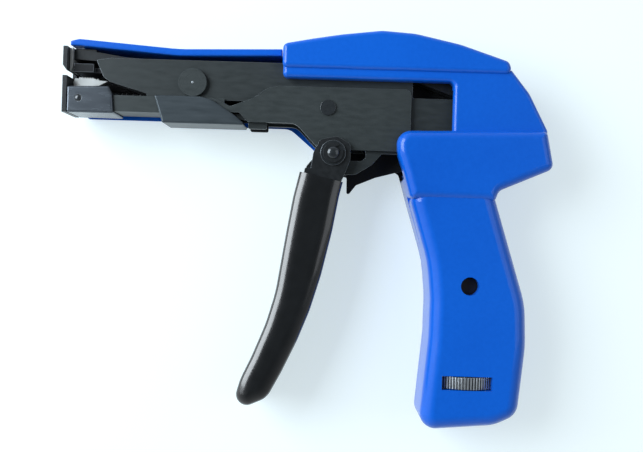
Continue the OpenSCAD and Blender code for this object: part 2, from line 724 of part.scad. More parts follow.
// The nose plate, with the flange along the far side that carries it
module nose_plate() {
    mouth_top = tie_level + tie_gap / 2;
    mouth_low = tie_level - tie_gap / 2;
    color([0.1, 0.11, 0.13]) on_tool() difference() {
        union() {
            translate([-nose_reach, nose_block_floor, mid - cheek_out])
                cube([nose_plate_thick, nose_plate_top - nose_block_floor, 2 * cheek_out]);
            translate([-nose_reach, mouth_top, mid - frame_out - nose_plate_thick])
                cube([nose_reach - frame_front * 0.82, frame_top - mouth_top, nose_plate_thick]);
        }
        // The tie's mouth, open to the near side, with its upper lip sloped to lead the tie in
        plate([[-nose_reach - overrun, mouth_low], [nose_back + overrun, mouth_low],
            [nose_back + overrun, mouth_top], [nose_back, mouth_top],
            [-nose_reach, mouth_top + mouth_slope], [-nose_reach - overrun, mouth_top + mouth_slope]],
            -frame_in, mid);
        bore(frame_screw_places[0], screw_shank_r + seat_gap);
    }
}
// The hard rail that the tie is pressed against
module anvil() {
    front = nose_back + blade_gap + blade_thick + clear_gap;
    foot = tie_level + tie_gap / 2;
    color([0.32, 0.35, 0.38]) on_tool() {
        translate([front, foot, mid - frame_out])
            cube([-frame_front * 1.045 - front, anvil_thick, 2 * frame_out]);
        translate([-frame_front * 1.045, foot, mid - frame_in])
            cube([anvil_tongue, anvil_thick, 2 * frame_in]);
        for (side = [-frame_out, frame_in])
            translate([front, foot + anvil_thick, mid + side])
                cube([-frame_front * 1.045 - front, anvil_flange, frame_thick]);
    }
}

// The sheath bent round the barrel's underside
sheath_top = channel_top + clear_gap;
sheath_pts = [
    [-sheath_front * 0.95, sheath_floor], [-sheath_front * 0.485, sheath_floor],
    [-sheath_front * 0.56, sheath_floor + (sheath_top - sheath_floor) * 0.4],
    [-sheath_front * 0.68, sheath_floor + (sheath_top - sheath_floor) * 0.9],
    [-sheath_front * 0.74, sheath_top], [-sheath_front, sheath_top],
];
module barrel_sheath() {
    color([0.27, 0.29, 0.32]) on_tool() difference() {
        pillow(sheath_pts, sheath_radius_shares * sheath_thick, mid - sheath_out, mid + sheath_out,
            sheath_thick * 0.8, sheath_thick * 0.8);
        translate([-sheath_front - overrun, sheath_floor + sheath_thick, mid - sheath_in])
            cube([sheath_front, sheath_top, 2 * sheath_in]);
        for (at = sheath_screw_places) pin(at, screw_shank_r + seat_gap, -mid, 0);
    }
}

// Outline of a side plate, and of the tongue that laps the draw channel
tongue_low = nose_block_floor + channel_thick * 1.3;
side_pts = [
    [-side_rear * 1.12, sheath_floor + sheath_thick + clear_gap],
    [-side_rear * 0.5, sheath_floor + sheath_thick + clear_gap],
    [-pin_r * 3.7, pin_r * 2], [-pin_r * 2.3, pin_r * 0.6], [-pin_r * 2.3, -pin_r * 1.2],
    [-pin_r, -pin_r * 2.3], [pin_r * 1.2, -pin_r * 2.3], [pin_r * 2.3, -pin_r], [pin_r * 2.8, pin_r * 0.65],
    [side_rear, pin_r * 0.65], [side_rear, side_top], [-side_rear * 0.72, side_top],
    [-side_rear * 0.88, side_top * 0.96], [-side_rear * 1.06, side_top * 0.8],
    [-side_rear * 1.36, channel_top * 0.85], [-side_rear * 1.4, tongue_low],
    [-side_rear * 1.24, tongue_low],
];
side_radius_shares = [0.3, 2.2, 2, 1, 1, 1, 1, 1, 0.4, 1, 1.1, 1, 2, 2, 0.5, 0.2, 0.2];
side_outline = rounded(side_pts, side_radius_shares * pin_r);
lap_thick = side_thick / 2;
tongue_pts = [[-side_rear * 2.1, tongue_low], [-side_rear * 1.3, tongue_low],
    [-side_rear * 1.36, channel_top * 0.85], [-side_rear * 1.46, channel_top * 0.92],
    [-side_rear * 1.6, channel_top], [-side_rear * 2.1, channel_top]];
module side_plate(side) {
    low = side > 0 ? side_in : -side_out;
    high = side > 0 ? side_out : -side_in;
    difference() {
        union() {
            plate(side_outline, low, high);
            plate(tongue_pts, side > 0 ? side_in + lap_thick : -side_out,
                side > 0 ? side_out : -side_in - lap_thick);
        }
        plate([[-side_rear * 2.1, 0], [-side_rear * 1.28, 0], [-side_rear * 1.28, side_top],
            [-side_rear * 2.1, side_top]], side > 0 ? side_in - overrun : -side_in - lap_thick,
            side > 0 ? side_in + lap_thick : -side_in + overrun);
        bore([0, 0], pin_r + seat_gap);
        bore(guide_front, rivet_r);
        bore(guide_rear, rivet_r);
    }
}
module left_side_plate() { color([0.22, 0.25, 0.27]) on_tool() side_plate(1); }
module right_side_plate() { color([0.19, 0.2, 0.22]) on_tool() side_plate(-1); }
// Each rivet holds a round slider that keeps the carriage straight in the frame's slots
module guide_rivets() {
    color([0.4, 0.42, 0.44]) on_tool() for (side = [0, 1])
        translate([0, 0, side * body_thick]) mirror([0, 0, side]) {
            pin(guide_rear, guide_r, frame_in + seat_gap, side_in);
            pin(guide_rear, rivet_r, side_in, side_out);
            pin(guide_rear, guide_r * 1.3, side_out, side_out + rivet_head);
            pin(guide_front, guide_r, frame_in + seat_gap, side_in);
            pin(guide_front, rivet_r, side_in, side_out);
        }
}

// The channel that carries the nose block, its rear ends thinned to lap the side plates
channel_low = nose_block_floor + nose_block_base;
module draw_channel() {
    front = nose_back + nose_gap;
    lap_rear = -side_rear * 1.44;
    color([0.24, 0.26, 0.29]) on_tool() difference() {
        union() {
            translate([front, channel_low, mid - side_in - channel_thick])
                cube([channel_rear - front, channel_thick, 2 * (side_in + channel_thick)]);
            for (side = [0, 1]) translate([0, 0, side * body_thick]) mirror([0, 0, side]) {
                translate([front, channel_low, mid + side_in])
                    cube([channel_rear - front, channel_top - channel_low, channel_thick]);
                translate([channel_rear - overrun, tongue_low, mid + side_in])
                    cube([lap_rear - channel_rear + overrun, channel_top - tongue_low, lap_thick]);
            }
            translate([front + nose_block_long, channel_low, mid - side_in])
                cube([channel_thick, channel_top - channel_low, 2 * side_in]);
        }
        // The thinned cheeks start clear of the side plates' tongues
        for (side = [0, 1]) translate([0, 0, side * body_thick]) mirror([0, 0, side])
            translate([-side_rear * 2.1 - seat_gap, 0, mid + side_in + lap_thick])
                cube([side_rear * 2.1, side_top, side_thick]);
        bore(pawl_at, nose_pin_r);
        bore(guide_front, rivet_r);
    }
}
module nose_block() {
    front = nose_back + nose_gap;
    inner = side_in + channel_thick;
    block_pts = [[front, nose_block_floor], [front + nose_block_long, nose_block_floor],
        [front + nose_block_long * 0.96, nose_block_floor + nose_block_high * 0.75],
        [front + nose_block_long * 0.88, nose_block_floor + nose_block_high],
        [front, nose_block_floor + nose_block_high * 0.96]];
    color([0.3, 0.33, 0.37]) on_tool() difference() {
        pillow(block_pts, block_corner_shares * nose_block_cheek, mid - cheek_out, mid + cheek_out,
            nose_block_base * 0.9, nose_block_base * 0.9);
        translate([front - overrun, channel_low, mid - inner])
            cube([nose_block_long + 2 * overrun, nose_block_high, 2 * inner]);
        bore(pawl_at, nose_pin_r);
    }
}
module nose_pin() {
    color([0.6, 0.62, 0.65]) on_tool() pin(pawl_at, nose_pin_r, -cheek_out, cheek_out);
}
module trigger_pin() {
    color([0.3, 0.32, 0.35]) on_tool() {
        pin([0, 0], pin_r, -ear_out, ear_out + washer_thick + clip_thick + pin_stub);
        pin([0, 0], pin_r * 1.5, -ear_out - washer_thick, -ear_out);
    }
}
module pin_washer() {
    color([0.35, 0.38, 0.4]) on_tool() difference() {
        pin([0, 0], pin_r * 2.1, ear_out, ear_out + washer_thick);
        bore([0, 0], pin_r);
    }
}
// The retaining clip: a ring that is open on one side
module pin_clip() {
    color([0.45, 0.48, 0.5]) on_tool() difference() {
        pin([0, 0], pin_r * 1.65, ear_out + washer_thick, ear_out + washer_thick + clip_thick);
        bore([0, 0], pin_r);
        rotate(35) translate([0, -pin_r * 0.5, 0]) cube([pin_r * 3, pin_r, body_thick + overrun]);
    }
}

// The gripper pawl, toothed along its top
pawl_half = lever_out;
module gripper_pawl() {
    teeth = 8;
    tooth_front = pawl_from + pawl_long * 0.02;
    tooth_top = tie_level - clear_gap * 2;
    pitch = pawl_long * 0.66 / teeth;
    color([0.78, 0.79, 0.79]) on_tool() difference() {
        plate(concat(
            [[pawl_from - pawl_long * 0.13, pawl_at.y - pawl_hub],
                [pawl_from + pawl_long * 0.34, pawl_at.y - pawl_hub],
                [pawl_from + pawl_long * 0.42, tooth_top - pawl_leaf],
                [pawl_from + pawl_long * 0.68, tooth_top - pawl_leaf * 0.92],
                [pawl_from + pawl_long * 0.96, tooth_top - pawl_leaf * 0.4]],
            [for (k = [teeth:-1:1]) each [
                [tooth_front + pitch * k, tooth_top - tooth_deep * (k > 6 ? 2 : 1)],
                [tooth_front + pitch * (k - 0.7), tooth_top - tooth_deep * (k > 6 ? 0.7 : 0)]]],
            [[tooth_front, tooth_top - tooth_deep], [pawl_from - pawl_long * 0.1, tooth_top - tooth_deep],
                [pawl_from - pawl_long * 0.16, tooth_top - pawl_leaf * 0.6],
                [pawl_from - pawl_long * 0.13, tooth_top - pawl_leaf]]
        ), -pawl_half, pawl_half);
        bore(pawl_at, nose_pin_r + seat_gap);
    }
}
// The leaf spring under the pawl
module pawl_spring() {
    foot = channel_low + channel_thick;
    rear = pawl_from + pawl_long * 0.86;
    under = tie_level - clear_gap * 3 - pawl_leaf;
    color([0.6, 0.62, 0.64]) on_tool() plate([
        [rear - pawl_long * 0.5, foot], [rear, foot], [rear, foot + leaf_thick],
        [rear - pawl_long * 0.42, foot + leaf_thick], [rear - pawl_long * 0.36, under],
        [rear - pawl_long * 0.42, under], [rear - pawl_long * 0.5, foot + leaf_thick],
    ], -pawl_half * 0.4, pawl_half * 0.4);
}
module return_spring() {
    front = nose_back + nose_gap + nose_block_long + channel_thick;
    color([0.55, 0.57, 0.6]) on_tool() translate([front, spring_axis_y, mid]) rotate([0, 90, 0])
        coil(return_r, return_wire, 9, -spring_stop_x - front);
}

// Outline of the trigger's bent steel lever, and of the coating over it
trigger_shares = [[-0.11, 0], [-0.151, 0.175], [-0.173, 0.31], [-0.209, 0.552], [-0.244, 0.676],
    [-0.296, 0.807], [-0.338, 0.897], [-0.37, 1.026], [-0.23, 0.965], [-0.177, 0.864],
    [-0.119, 0.739], [-0.073, 0.62], [-0.032, 0.479], [0.006, 0.307], [0.029, 0.169], [0.082, -0.06]];
trigger_radius_shares = [0.02, 0.5, 0.5, 0.5, 0.5, 0.5, 0.3, 0.0425, 0.083, 0.4, 0.5, 0.5, 0.5, 0.5,
    0.5, 0.02];
coated_pts = [for (s = trigger_shares) [s.x, -s.y] * trigger_reach];
lever_pts = inset(coated_pts, coat_edge);
trigger_radii = trigger_radius_shares * trigger_reach;
lever_radii = inset_radii(coated_pts, trigger_radii, coat_edge);

// The hollow of the trigger's channel, open towards the grip
module lever_hollow() {
    plate(concat([for (i = [0:6]) inset(lever_pts, ear_thick)[i]],
        [for (i = [7:15]) inset(lever_pts, -3 * ear_thick)[i]]), -ear_in, ear_in);
}
lever_ear_front = [lever_pts[1].x + ear_thick * 2.3, -ear_r * 1.6];
lever_ear_rear = [lever_pts[15].x - ear_thick * 1.2, -ear_r * 1.6];
ear_head = [lever_ear_rear, [ear_r, -ear_r * 0.35], [ear_r * 0.97, ear_r * 0.55],
    [ear_r * 0.2, ear_r * 0.95], [-ear_r * 0.75, ear_r * 0.75]];
module trigger_lever() {
    color([0.25, 0.27, 0.3]) on_tool() difference() {
        union() {
            difference() {
                plate(rounded(lever_pts, lever_radii), -ear_out, ear_out);
                lever_hollow();
                translate([-trigger_reach, -ear_r * 0.9, -overrun])
                    cube([2 * trigger_reach, trigger_reach, body_thick + 2 * overrun]);
            }
            plate(even(concat([lever_ear_front], ear_head, [[-ear_r * 1.12, 0]]), ear_r * 0.3),
                ear_in, ear_out);
            // The far ear runs on into the shoulder that shows in front of the near one
            plate(even(concat([lever_ear_front - [ear_thick * 1.3, 0]], ear_head,
                [[-ear_r * 1.1, -ear_r * 0.05], [-ear_r * 1.55, -ear_r * 0.6]]), ear_r * 0.3),
                -ear_out, -ear_in);
        }
        bore([0, 0], pin_r + seat_gap);
    }
}
module trigger_sleeve() {
    color([0.12, 0.14, 0.16]) on_tool() difference() {
        pillow(coated_pts, trigger_radii, mid - coat_out, mid + coat_out, coat_round, coat_round);
        plate(rounded(lever_pts, lever_radii), -ear_out, ear_out);
        lever_hollow();
        // The coating ends in a line square to the trigger
        rotate(-sleeve_tilt) translate([-trigger_reach, -sleeve_top, -overrun])
            cube([2 * trigger_reach, trigger_reach, body_thick + 2 * overrun]);
    }
}
// The arm in the middle of the stack, from the trigger's web to the fulcrum
module trigger_arm() {
    web = inset(lever_pts, ear_thick);
    lean = atan2(arm_lean, fulcrum_high);
    color([0.3, 0.31, 0.33]) on_tool() difference() {
        union() {
            plate([web[0] * 0.15 + web[1] * 0.85, web[1], web[2] * 0.8 + web[1] * 0.2,
                [pin_r * 0.2, -ear_r * 2.6], [pin_r * 1.8, -pin_r], [-pin_r * 1.8, pin_r * 0.8],
                [web[1].x + ear_thick * 2.2, -ear_r * 1.1], [web[1].x + ear_thick * 1.4, -ear_r * 1.4]],
                -core_thick / 2, core_thick / 2);
            pin([0, 0], pin_r * 2, -core_thick / 2, core_thick / 2);
            rotate(-lean) plate(even([[-pin_r * 1.5, 0], [pin_r * 1.5, 0],
                [fulcrum_r * 2.1, fulcrum_high * 0.88],
                [fulcrum_r * 2.1, fulcrum_high * 1.22], [-fulcrum_r * 2.7, fulcrum_high * 1.22],
                [-fulcrum_r * 2.7, fulcrum_high * 0.84]], fulcrum_r), -core_thick / 2, core_thick / 2);
        }
        bore([0, 0], pin_r + seat_gap);
        rotate(-lean) translate([0, 0, -overrun]) linear_extrude(body_thick + 2 * overrun) polygon(even([
            [-fulcrum_r * 1.7, fulcrum_high * 0.905], [fulcrum_r + run_gap, fulcrum_high * 0.905],
            [fulcrum_r + run_gap, fulcrum_high * 1.165], [-fulcrum_r * 1.7, fulcrum_high * 1.165]],
            fulcrum_r * 0.9));
    }
}

// The trip lever: two plates about the trigger arm, from the cutter lever to the spring cap
trip_tip = [trip_at.x - trip_front, cutter_at.y + run_gap * 5];
cap_contact = [grip_axis, -cap_level + clear_gap + trip_tip_r];
module trip_lever() {
    color([0.26, 0.28, 0.3]) on_tool() difference() {
        union() {
            for (side = [0, 1]) translate([0, 0, side * body_thick]) mirror([0, 0, side]) {
                plate(even([
                    trip_tip + [-trip_tip_r * 0.6, -trip_tip_r],
                    trip_tip + [trip_tip_r * 4, -trip_tip_r * 1.6],
                    fulcrum_at + [-fulcrum_r * 2, -fulcrum_r * 2],
                    fulcrum_at + [fulcrum_r * 2, -fulcrum_r * 2],
                    trip_at + [-trip_boss_r * 0.3, -trip_boss_r * 1.1],
                    trip_at + [trip_boss_r * 1.6, -trip_boss_r * 1.2],
                    [grip_axis - trip_tip_r * 1.7, frame_step],
                    cap_contact + [-trip_tip_r * 0.8, trip_tip_r * 0.6],
                    cap_contact + [trip_tip_r * 1.2, trip_tip_r * 0.6],
                    [grip_axis + trip_tip_r * 1.7, frame_step * 0.8],
                    [grip_axis + trip_tip_r, lip_level], trip_at + [trip_boss_r * 1.6, trip_boss_r * 0.5],
                    trip_at + [0, trip_boss_r], trip_at + [-trip_boss_r * 1.2, trip_boss_r * 0.4],
                    fulcrum_at + [-fulcrum_r, fulcrum_r * 3.2],
                    trip_tip + [trip_tip_r * 3, trip_tip_r * 0.7],
                    trip_tip + [0, trip_tip_r * 0.6]], trip_tip_r * 0.5), lever_in, lever_out);
                pin(trip_tip, trip_tip_r, lever_in, lever_out);
                pin(trip_at, trip_boss_r, lever_in, lever_out);
            }
            // The pad that joins both plates and presses on the spring cap
            pin(cap_contact, trip_tip_r, -lever_out, lever_out);
        }
        bore(trip_at, trip_pin_r + seat_gap);
        bore(fulcrum_at, fulcrum_r);
    }
}
module fulcrum_pin() {
    color([0.6, 0.62, 0.65]) on_tool() pin(fulcrum_at, fulcrum_r, -lever_out, lever_out);
}

// The cutter lever: two plates joined behind the blade, over the return spring
module cutter_lever() {
    // Its tip stays clear of the front plate as it swings down
    blade_front = nose_back + blade_gap + blade_thick * 0.65;
    tip_low = tie_level + tie_gap / 2 + anvil_thick + clear_gap + blade_drop;
    color([0.24, 0.26, 0.28]) on_tool() difference() {
        union() {
            for (side = [0, 1]) translate([0, 0, side * body_thick]) mirror([0, 0, side]) plate([
                [blade_front + overrun, tip_low], [-frame_front * 1.01, tip_low - run_gap * 3],
                [-frame_front * 0.9, tie_level + tie_gap * 1.3],
                cutter_at + [-cutter_boss_r * 3, -cutter_boss_r * 0.1],
                cutter_at + [-cutter_boss_r * 0.7, -cutter_boss_r * 0.95],
                cutter_at + [cutter_boss_r * 0.7, -cutter_boss_r * 0.95],
                cutter_at + [cutter_boss_r * 1.8, trip_tip_r * 1.4 ],
                trip_tip + [-trip_tip_r, trip_tip_r + clear_gap],
                trip_tip + [trip_tip_r, trip_tip_r + clear_gap],
                [trip_tip.x + trip_tip_r, frame_top - lever_thick], cutter_at + [0, cutter_boss_r * 1.75],
                [-frame_front * 0.92, frame_top + lever_thick * 0.4],
                [-frame_front * 1.03, nose_plate_top - lever_thick * 0.5],
                [blade_front + overrun, nose_plate_top - clear_gap * 0.5]], lever_in, lever_out);
            // The bridge that reaches through the blade's window
            translate([blade_front, tip_low, mid - lever_out])
                cube([frame_front * 0.1, nose_plate_top - clear_gap * 0.5 - tip_low, 2 * lever_out]);
        }
        bore(cutter_at, cutter_pin_r + seat_gap);
    }
}
module cutter_blade() {
    tip_low = tie_level + tie_gap / 2 + anvil_thick + clear_gap + blade_drop;
    edge = tie_level + tie_gap / 2 + clear_gap;
    back = nose_back + blade_gap;
    color([0.75, 0.76, 0.78]) on_tool() difference() {
        plate([[back, edge], [back + blade_thick, edge + blade_thick * 1.2],
            [back + blade_thick, nose_plate_top], [back, nose_plate_top]], -blade_half, blade_half);
        translate([back - overrun, tip_low - clear_gap * 0.5, mid - lever_out - clear_gap])
            cube([blade_thick + 2 * overrun, nose_plate_top, 2 * (lever_out + clear_gap)]);
    }
}

// The adjuster, all on the axis of the grip
module spring_cap() {
    color([0.5, 0.52, 0.55]) on_tool() {
        upright(stem_r, -cap_level - rib_thick * 2 - cap_round * 2, -cap_level);
        upright(spring_r, -spring_top, -spring_top + cap_round);
        upright(spring_r - spring_wire - clear_gap, -spring_top - cap_round, -spring_top);
    }
}
module tension_spring() {
    bottom = -nut_level + nut_high / 2;
    color([0.6, 0.6, 0.62]) on_tool() translate([grip_axis, bottom, mid]) rotate([-90, 0, 0])
        coil(spring_r, spring_wire, 8, -spring_top - bottom);
}
module spring_nut() {
    color([0.55, 0.56, 0.58]) on_tool() difference() {
        translate([grip_axis - nut_half, -nut_level - nut_high / 2, mid - nut_half])
            cube([2 * nut_half, nut_high, 2 * nut_half]);
        upright(screw_r + seat_gap, -nut_level - nut_high, -nut_level + nut_high);
    }
}
module tension_screw() {
    color([0.6, 0.61, 0.64]) on_tool() {
        upright(screw_r, -wheel_level - wheel_thick / 2 - 3 * rib_thick,
            -nut_level + nut_high / 2 + screw_r);
    }
}
module tension_wheel() {
    color([0.35, 0.38, 0.42]) on_tool() difference() {
        upright(wheel_r, -wheel_level - wheel_thick / 2, -wheel_level + wheel_thick / 2);
        upright(screw_r, -wheel_level - wheel_thick, -wheel_level + wheel_thick);
        for (k = [0:wheel_knurls - 1]) translate([grip_axis, -wheel_level, mid])
            rotate([0, 360 * k / wheel_knurls, 0]) translate([wheel_r, -wheel_thick, 0]) rotate([0, 45, 0])
                cube([knurl_deep, 2 * wheel_thick, knurl_deep]);
    }
}

right_housing();
left_housing();
shell_screws();
frame_screws();
sheath_screws();
right_frame_plate();
left_frame_plate();
cutter_stud();
trip_pin();
nose_plate();
anvil();
barrel_sheath();
left_side_plate();
right_side_plate();
guide_rivets();
draw_channel();
nose_block();
nose_pin();
trigger_pin();
pin_washer();
pin_clip();
gripper_pawl();
pawl_spring();
return_spring();
trigger_lever();
trigger_sleeve();
trigger_arm();
trip_lever();
fulcrum_pin();
cutter_lever();
cutter_blade();
spring_cap();
tension_spring();
spring_nut();
tension_screw();
tension_wheel();
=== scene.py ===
# %% [markdown]
# A tool that pulls a cable tie tight and cuts its tail, lying on its right side on a pale bench.
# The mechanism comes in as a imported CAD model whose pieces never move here. This lesson gives
# every piece its finish, rebuilds the moulded and coated forms with soft edges, and winds the
# springs.
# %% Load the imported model
import bpy, bmesh, json, math
from mathutils import Matrix, Vector

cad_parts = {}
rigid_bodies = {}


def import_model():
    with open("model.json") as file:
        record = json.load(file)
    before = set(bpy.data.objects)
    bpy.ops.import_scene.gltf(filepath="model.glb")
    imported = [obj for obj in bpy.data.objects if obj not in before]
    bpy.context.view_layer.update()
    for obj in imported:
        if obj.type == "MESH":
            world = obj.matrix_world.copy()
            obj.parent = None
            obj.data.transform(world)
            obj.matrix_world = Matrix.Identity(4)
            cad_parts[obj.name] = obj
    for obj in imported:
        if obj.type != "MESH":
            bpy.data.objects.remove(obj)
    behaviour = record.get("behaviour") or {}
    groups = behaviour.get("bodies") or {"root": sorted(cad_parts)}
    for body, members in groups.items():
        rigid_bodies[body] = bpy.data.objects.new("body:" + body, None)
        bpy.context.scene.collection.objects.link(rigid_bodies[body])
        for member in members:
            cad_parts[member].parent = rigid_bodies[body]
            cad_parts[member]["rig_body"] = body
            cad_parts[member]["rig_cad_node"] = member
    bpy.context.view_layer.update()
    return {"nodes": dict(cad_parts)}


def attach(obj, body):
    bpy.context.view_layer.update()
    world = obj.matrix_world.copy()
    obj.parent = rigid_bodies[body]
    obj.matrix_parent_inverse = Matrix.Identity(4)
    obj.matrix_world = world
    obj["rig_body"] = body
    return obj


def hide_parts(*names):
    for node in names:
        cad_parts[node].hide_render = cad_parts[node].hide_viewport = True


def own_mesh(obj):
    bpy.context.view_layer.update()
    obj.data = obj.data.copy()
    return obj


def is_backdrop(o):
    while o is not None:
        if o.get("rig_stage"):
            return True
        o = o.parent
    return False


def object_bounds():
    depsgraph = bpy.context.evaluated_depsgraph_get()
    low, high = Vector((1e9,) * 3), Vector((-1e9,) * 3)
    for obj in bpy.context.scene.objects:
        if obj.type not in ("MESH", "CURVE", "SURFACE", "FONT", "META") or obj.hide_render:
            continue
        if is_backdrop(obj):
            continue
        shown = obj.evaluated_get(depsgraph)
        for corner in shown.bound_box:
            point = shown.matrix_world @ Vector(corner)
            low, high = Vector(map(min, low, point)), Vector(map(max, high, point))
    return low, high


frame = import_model()
nodes = frame["nodes"]

# %% [markdown]
# Everything is drawn from the trigger's pin, in millimetres, as the maker's drawing is. Blender
# works in metres from a point under the middle of the tool, so one small helper turns one into
# the other. The layers of the mechanism are counted from the plane in which the two housing
# shells meet.
# %% Units and places
PIN = Vector((9.0, 24.9))
MID = 12.0

def spot(x, y, z=MID):
    return Vector(((x + PIN.x) / 1000, (y + PIN.y) / 1000, z / 1000))

def clear_selection():
    if bpy.context.mode != "OBJECT":
        bpy.ops.object.mode_set(mode="OBJECT")
    bpy.ops.object.select_all(action="DESELECT")

def pick(piece):
    clear_selection()
    piece.select_set(True)
    bpy.context.view_layer.objects.active = piece
    return piece

print("trigger pin at", [round(v * 1000, 1) for v in spot(0, 0)])

# %% [markdown]
# The photograph was taken from straight above, about 300 mm over the bench, with the camera
# turned by under two degrees. The lens is set so that the picture's width covers 228 mm of bench.
# %% Camera
UNDER_LENS, HEIGHT = (0.00593, 0.00063), 0.300
TURNED_BY = 1.75
SENSOR, BENCH_SEEN = 36, 228.1
bpy.ops.object.camera_add(location=(*UNDER_LENS, HEIGHT), rotation=(0, 0, math.radians(TURNED_BY)))
camera = bpy.context.object
camera.name = "bench_camera"
camera.data.sensor_width = SENSOR
camera.data.lens = SENSOR * HEIGHT * 1000 / BENCH_SEEN
camera.data.clip_start, camera.data.clip_end = 0.01, 10
bpy.context.scene.camera = camera
print("camera looks down from", HEIGHT, "m with a", round(camera.data.lens, 1), "mm lens")

# %% [markdown]
# Light and finishes are both built from nodes. This helper adds one node to a tree and sets the
# sockets that nothing is wired to, so that the cells below read as a list of steps.
# %% A helper for nodes
def added(tree, kind, **values):
    node = tree.nodes.new("ShaderNode" + kind)
    for socket, value in values.items():
        node.inputs[socket.replace("_", " ")].default_value = value
    return node

def reckoned(tree, operation, first, second):
    """A sum of two outputs, or of an output and a plain number."""
    node = tree.nodes.new("ShaderNodeMath")
    node.operation = operation
    tree.links.new(first, node.inputs[0])
    if isinstance(second, (int, float)):
        node.inputs[1].default_value = second
    else:
        tree.links.new(second, node.inputs[1])
    return node

print("two helpers for nodes")

# %% [markdown]
# Soft studio light starts with a pale sky. It is dimmer straight overhead, where the
# photographer stands, because that patch is what a flat glossy face mirrors, and so black stays
# black. It is also dimmer towards the right, away from the window.
# %% The sky
HORIZON, OVERHEAD = 0.98, 0.12
WINDOW_SIDE, FAR_SIDE = 1.12, 0.5
world = bpy.data.worlds.new("studio")
world.use_nodes = True
bpy.context.scene.world = world
sky = world.node_tree
background = sky.nodes["Background"]
background.inputs["Color"].default_value = (0.94, 0.975, 1, 1)
direction = added(sky, "TexCoord")
axes = added(sky, "SeparateXYZ")
sky.links.new(direction.outputs["Generated"], axes.inputs["Vector"])
upward = added(sky, "MapRange", From_Min=0.15, From_Max=0.95, To_Min=HORIZON, To_Max=OVERHEAD)
across = added(sky, "MapRange", From_Min=-0.9, From_Max=0.9, To_Min=WINDOW_SIDE, To_Max=FAR_SIDE)
sky.links.new(axes.outputs["Z"], upward.inputs["Value"])
sky.links.new(axes.outputs["X"], across.inputs["Value"])
level = reckoned(sky, "MULTIPLY", upward.outputs["Result"], across.outputs["Result"])
sky.links.new(level.outputs["Value"], background.inputs["Strength"])
bpy.context.scene.view_settings.view_transform = "Standard"
print("a pale sky,", HORIZON, "at the horizon and", OVERHEAD, "overhead")

# %% [markdown]
# One broad lamp from the left gives the long highlights on the paint and the coating, and the
# soft shadow to the right. A weak one fills the other side. Together with the sky they light a
# white sheet to just about white, so each colour renders about as it is written.
# %% The lamps
def lamp(name, place, width, watts, colour):
    """A square lamp that faces the middle of the tool."""
    clear_selection()
    bpy.ops.object.light_add(type="AREA", location=place)
    light = bpy.context.object
    light.name = name
    light.data.size, light.data.energy, light.data.color = width, watts, colour
    light.rotation_euler = (-Vector(place)).to_track_quat("-Z", "Y").to_euler()

lamp("window_lamp", (-0.52, 0.21, 0.44), 0.5, 5.9, (0.88, 0.95, 1))
lamp("fill_lamp", (0.5, 0.1, 0.55), 0.5, 0.7, (0.9, 0.95, 1))
print("two lamps, the strong one from the left")

# %% [markdown]
# The bench is white paper that photographs as pure white while the shadow on it stays a pale
# blue. So it has a little glow of its own, which only the camera and mirrored rays see: it adds
# no light to the tool.
# %% Bench
BENCH_SIZE, BENCH_DROP, GLOW = 3, 0.0001, 0.59
clear_selection()
bpy.ops.mesh.primitive_plane_add(size=BENCH_SIZE, location=(0, 0, -BENCH_DROP))
bench = bpy.context.object
bench.name = "bench_top"
bench_finish = bpy.data.materials.new("bench_paper")
bench_finish.use_nodes = True
sheet = bench_finish.node_tree
paper = sheet.nodes["Principled BSDF"]
paper.inputs["Base Color"].default_value = (0.52, 0.57, 0.58, 1)
paper.inputs["Roughness"].default_value = 0.6
paper.inputs["Specular IOR Level"].default_value = 0.2
paper.inputs["Emission Color"].default_value = (0.84, 0.96, 1, 1)
rays = added(sheet, "LightPath")
seen = reckoned(sheet, "ADD", rays.outputs["Is Camera Ray"], rays.outputs["Is Glossy Ray"])
seen.use_clamp = True
glow = reckoned(sheet, "MULTIPLY", seen.outputs["Value"], GLOW)
sheet.links.new(glow.outputs["Value"], paper.inputs["Emission Strength"])
bench.data.materials.append(bench_finish)
bench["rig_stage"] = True
print("a plain white bench,", BENCH_SIZE, "m across")

# %% [markdown]
# A finish is a Principled shader whose colour, roughness and relief come from noise on the
# piece's own Object coordinates, in metres: a noise scale of 1000 gives grain of about a
# millimetre. Broad patches carry the fine grain, and together they choose the tone between the
# finish's dark and light colours. One helper wires this, and each finish only says how it looks.
# %% A helper for finishes
PATCH_SCALE, GRAIN_SHARE = 18, 0.45
DARK_UNTIL, LIGHT_FROM = 0.5, 0.95
GLOSS_FROM, GLOSS_TO = 0.25, 0.75

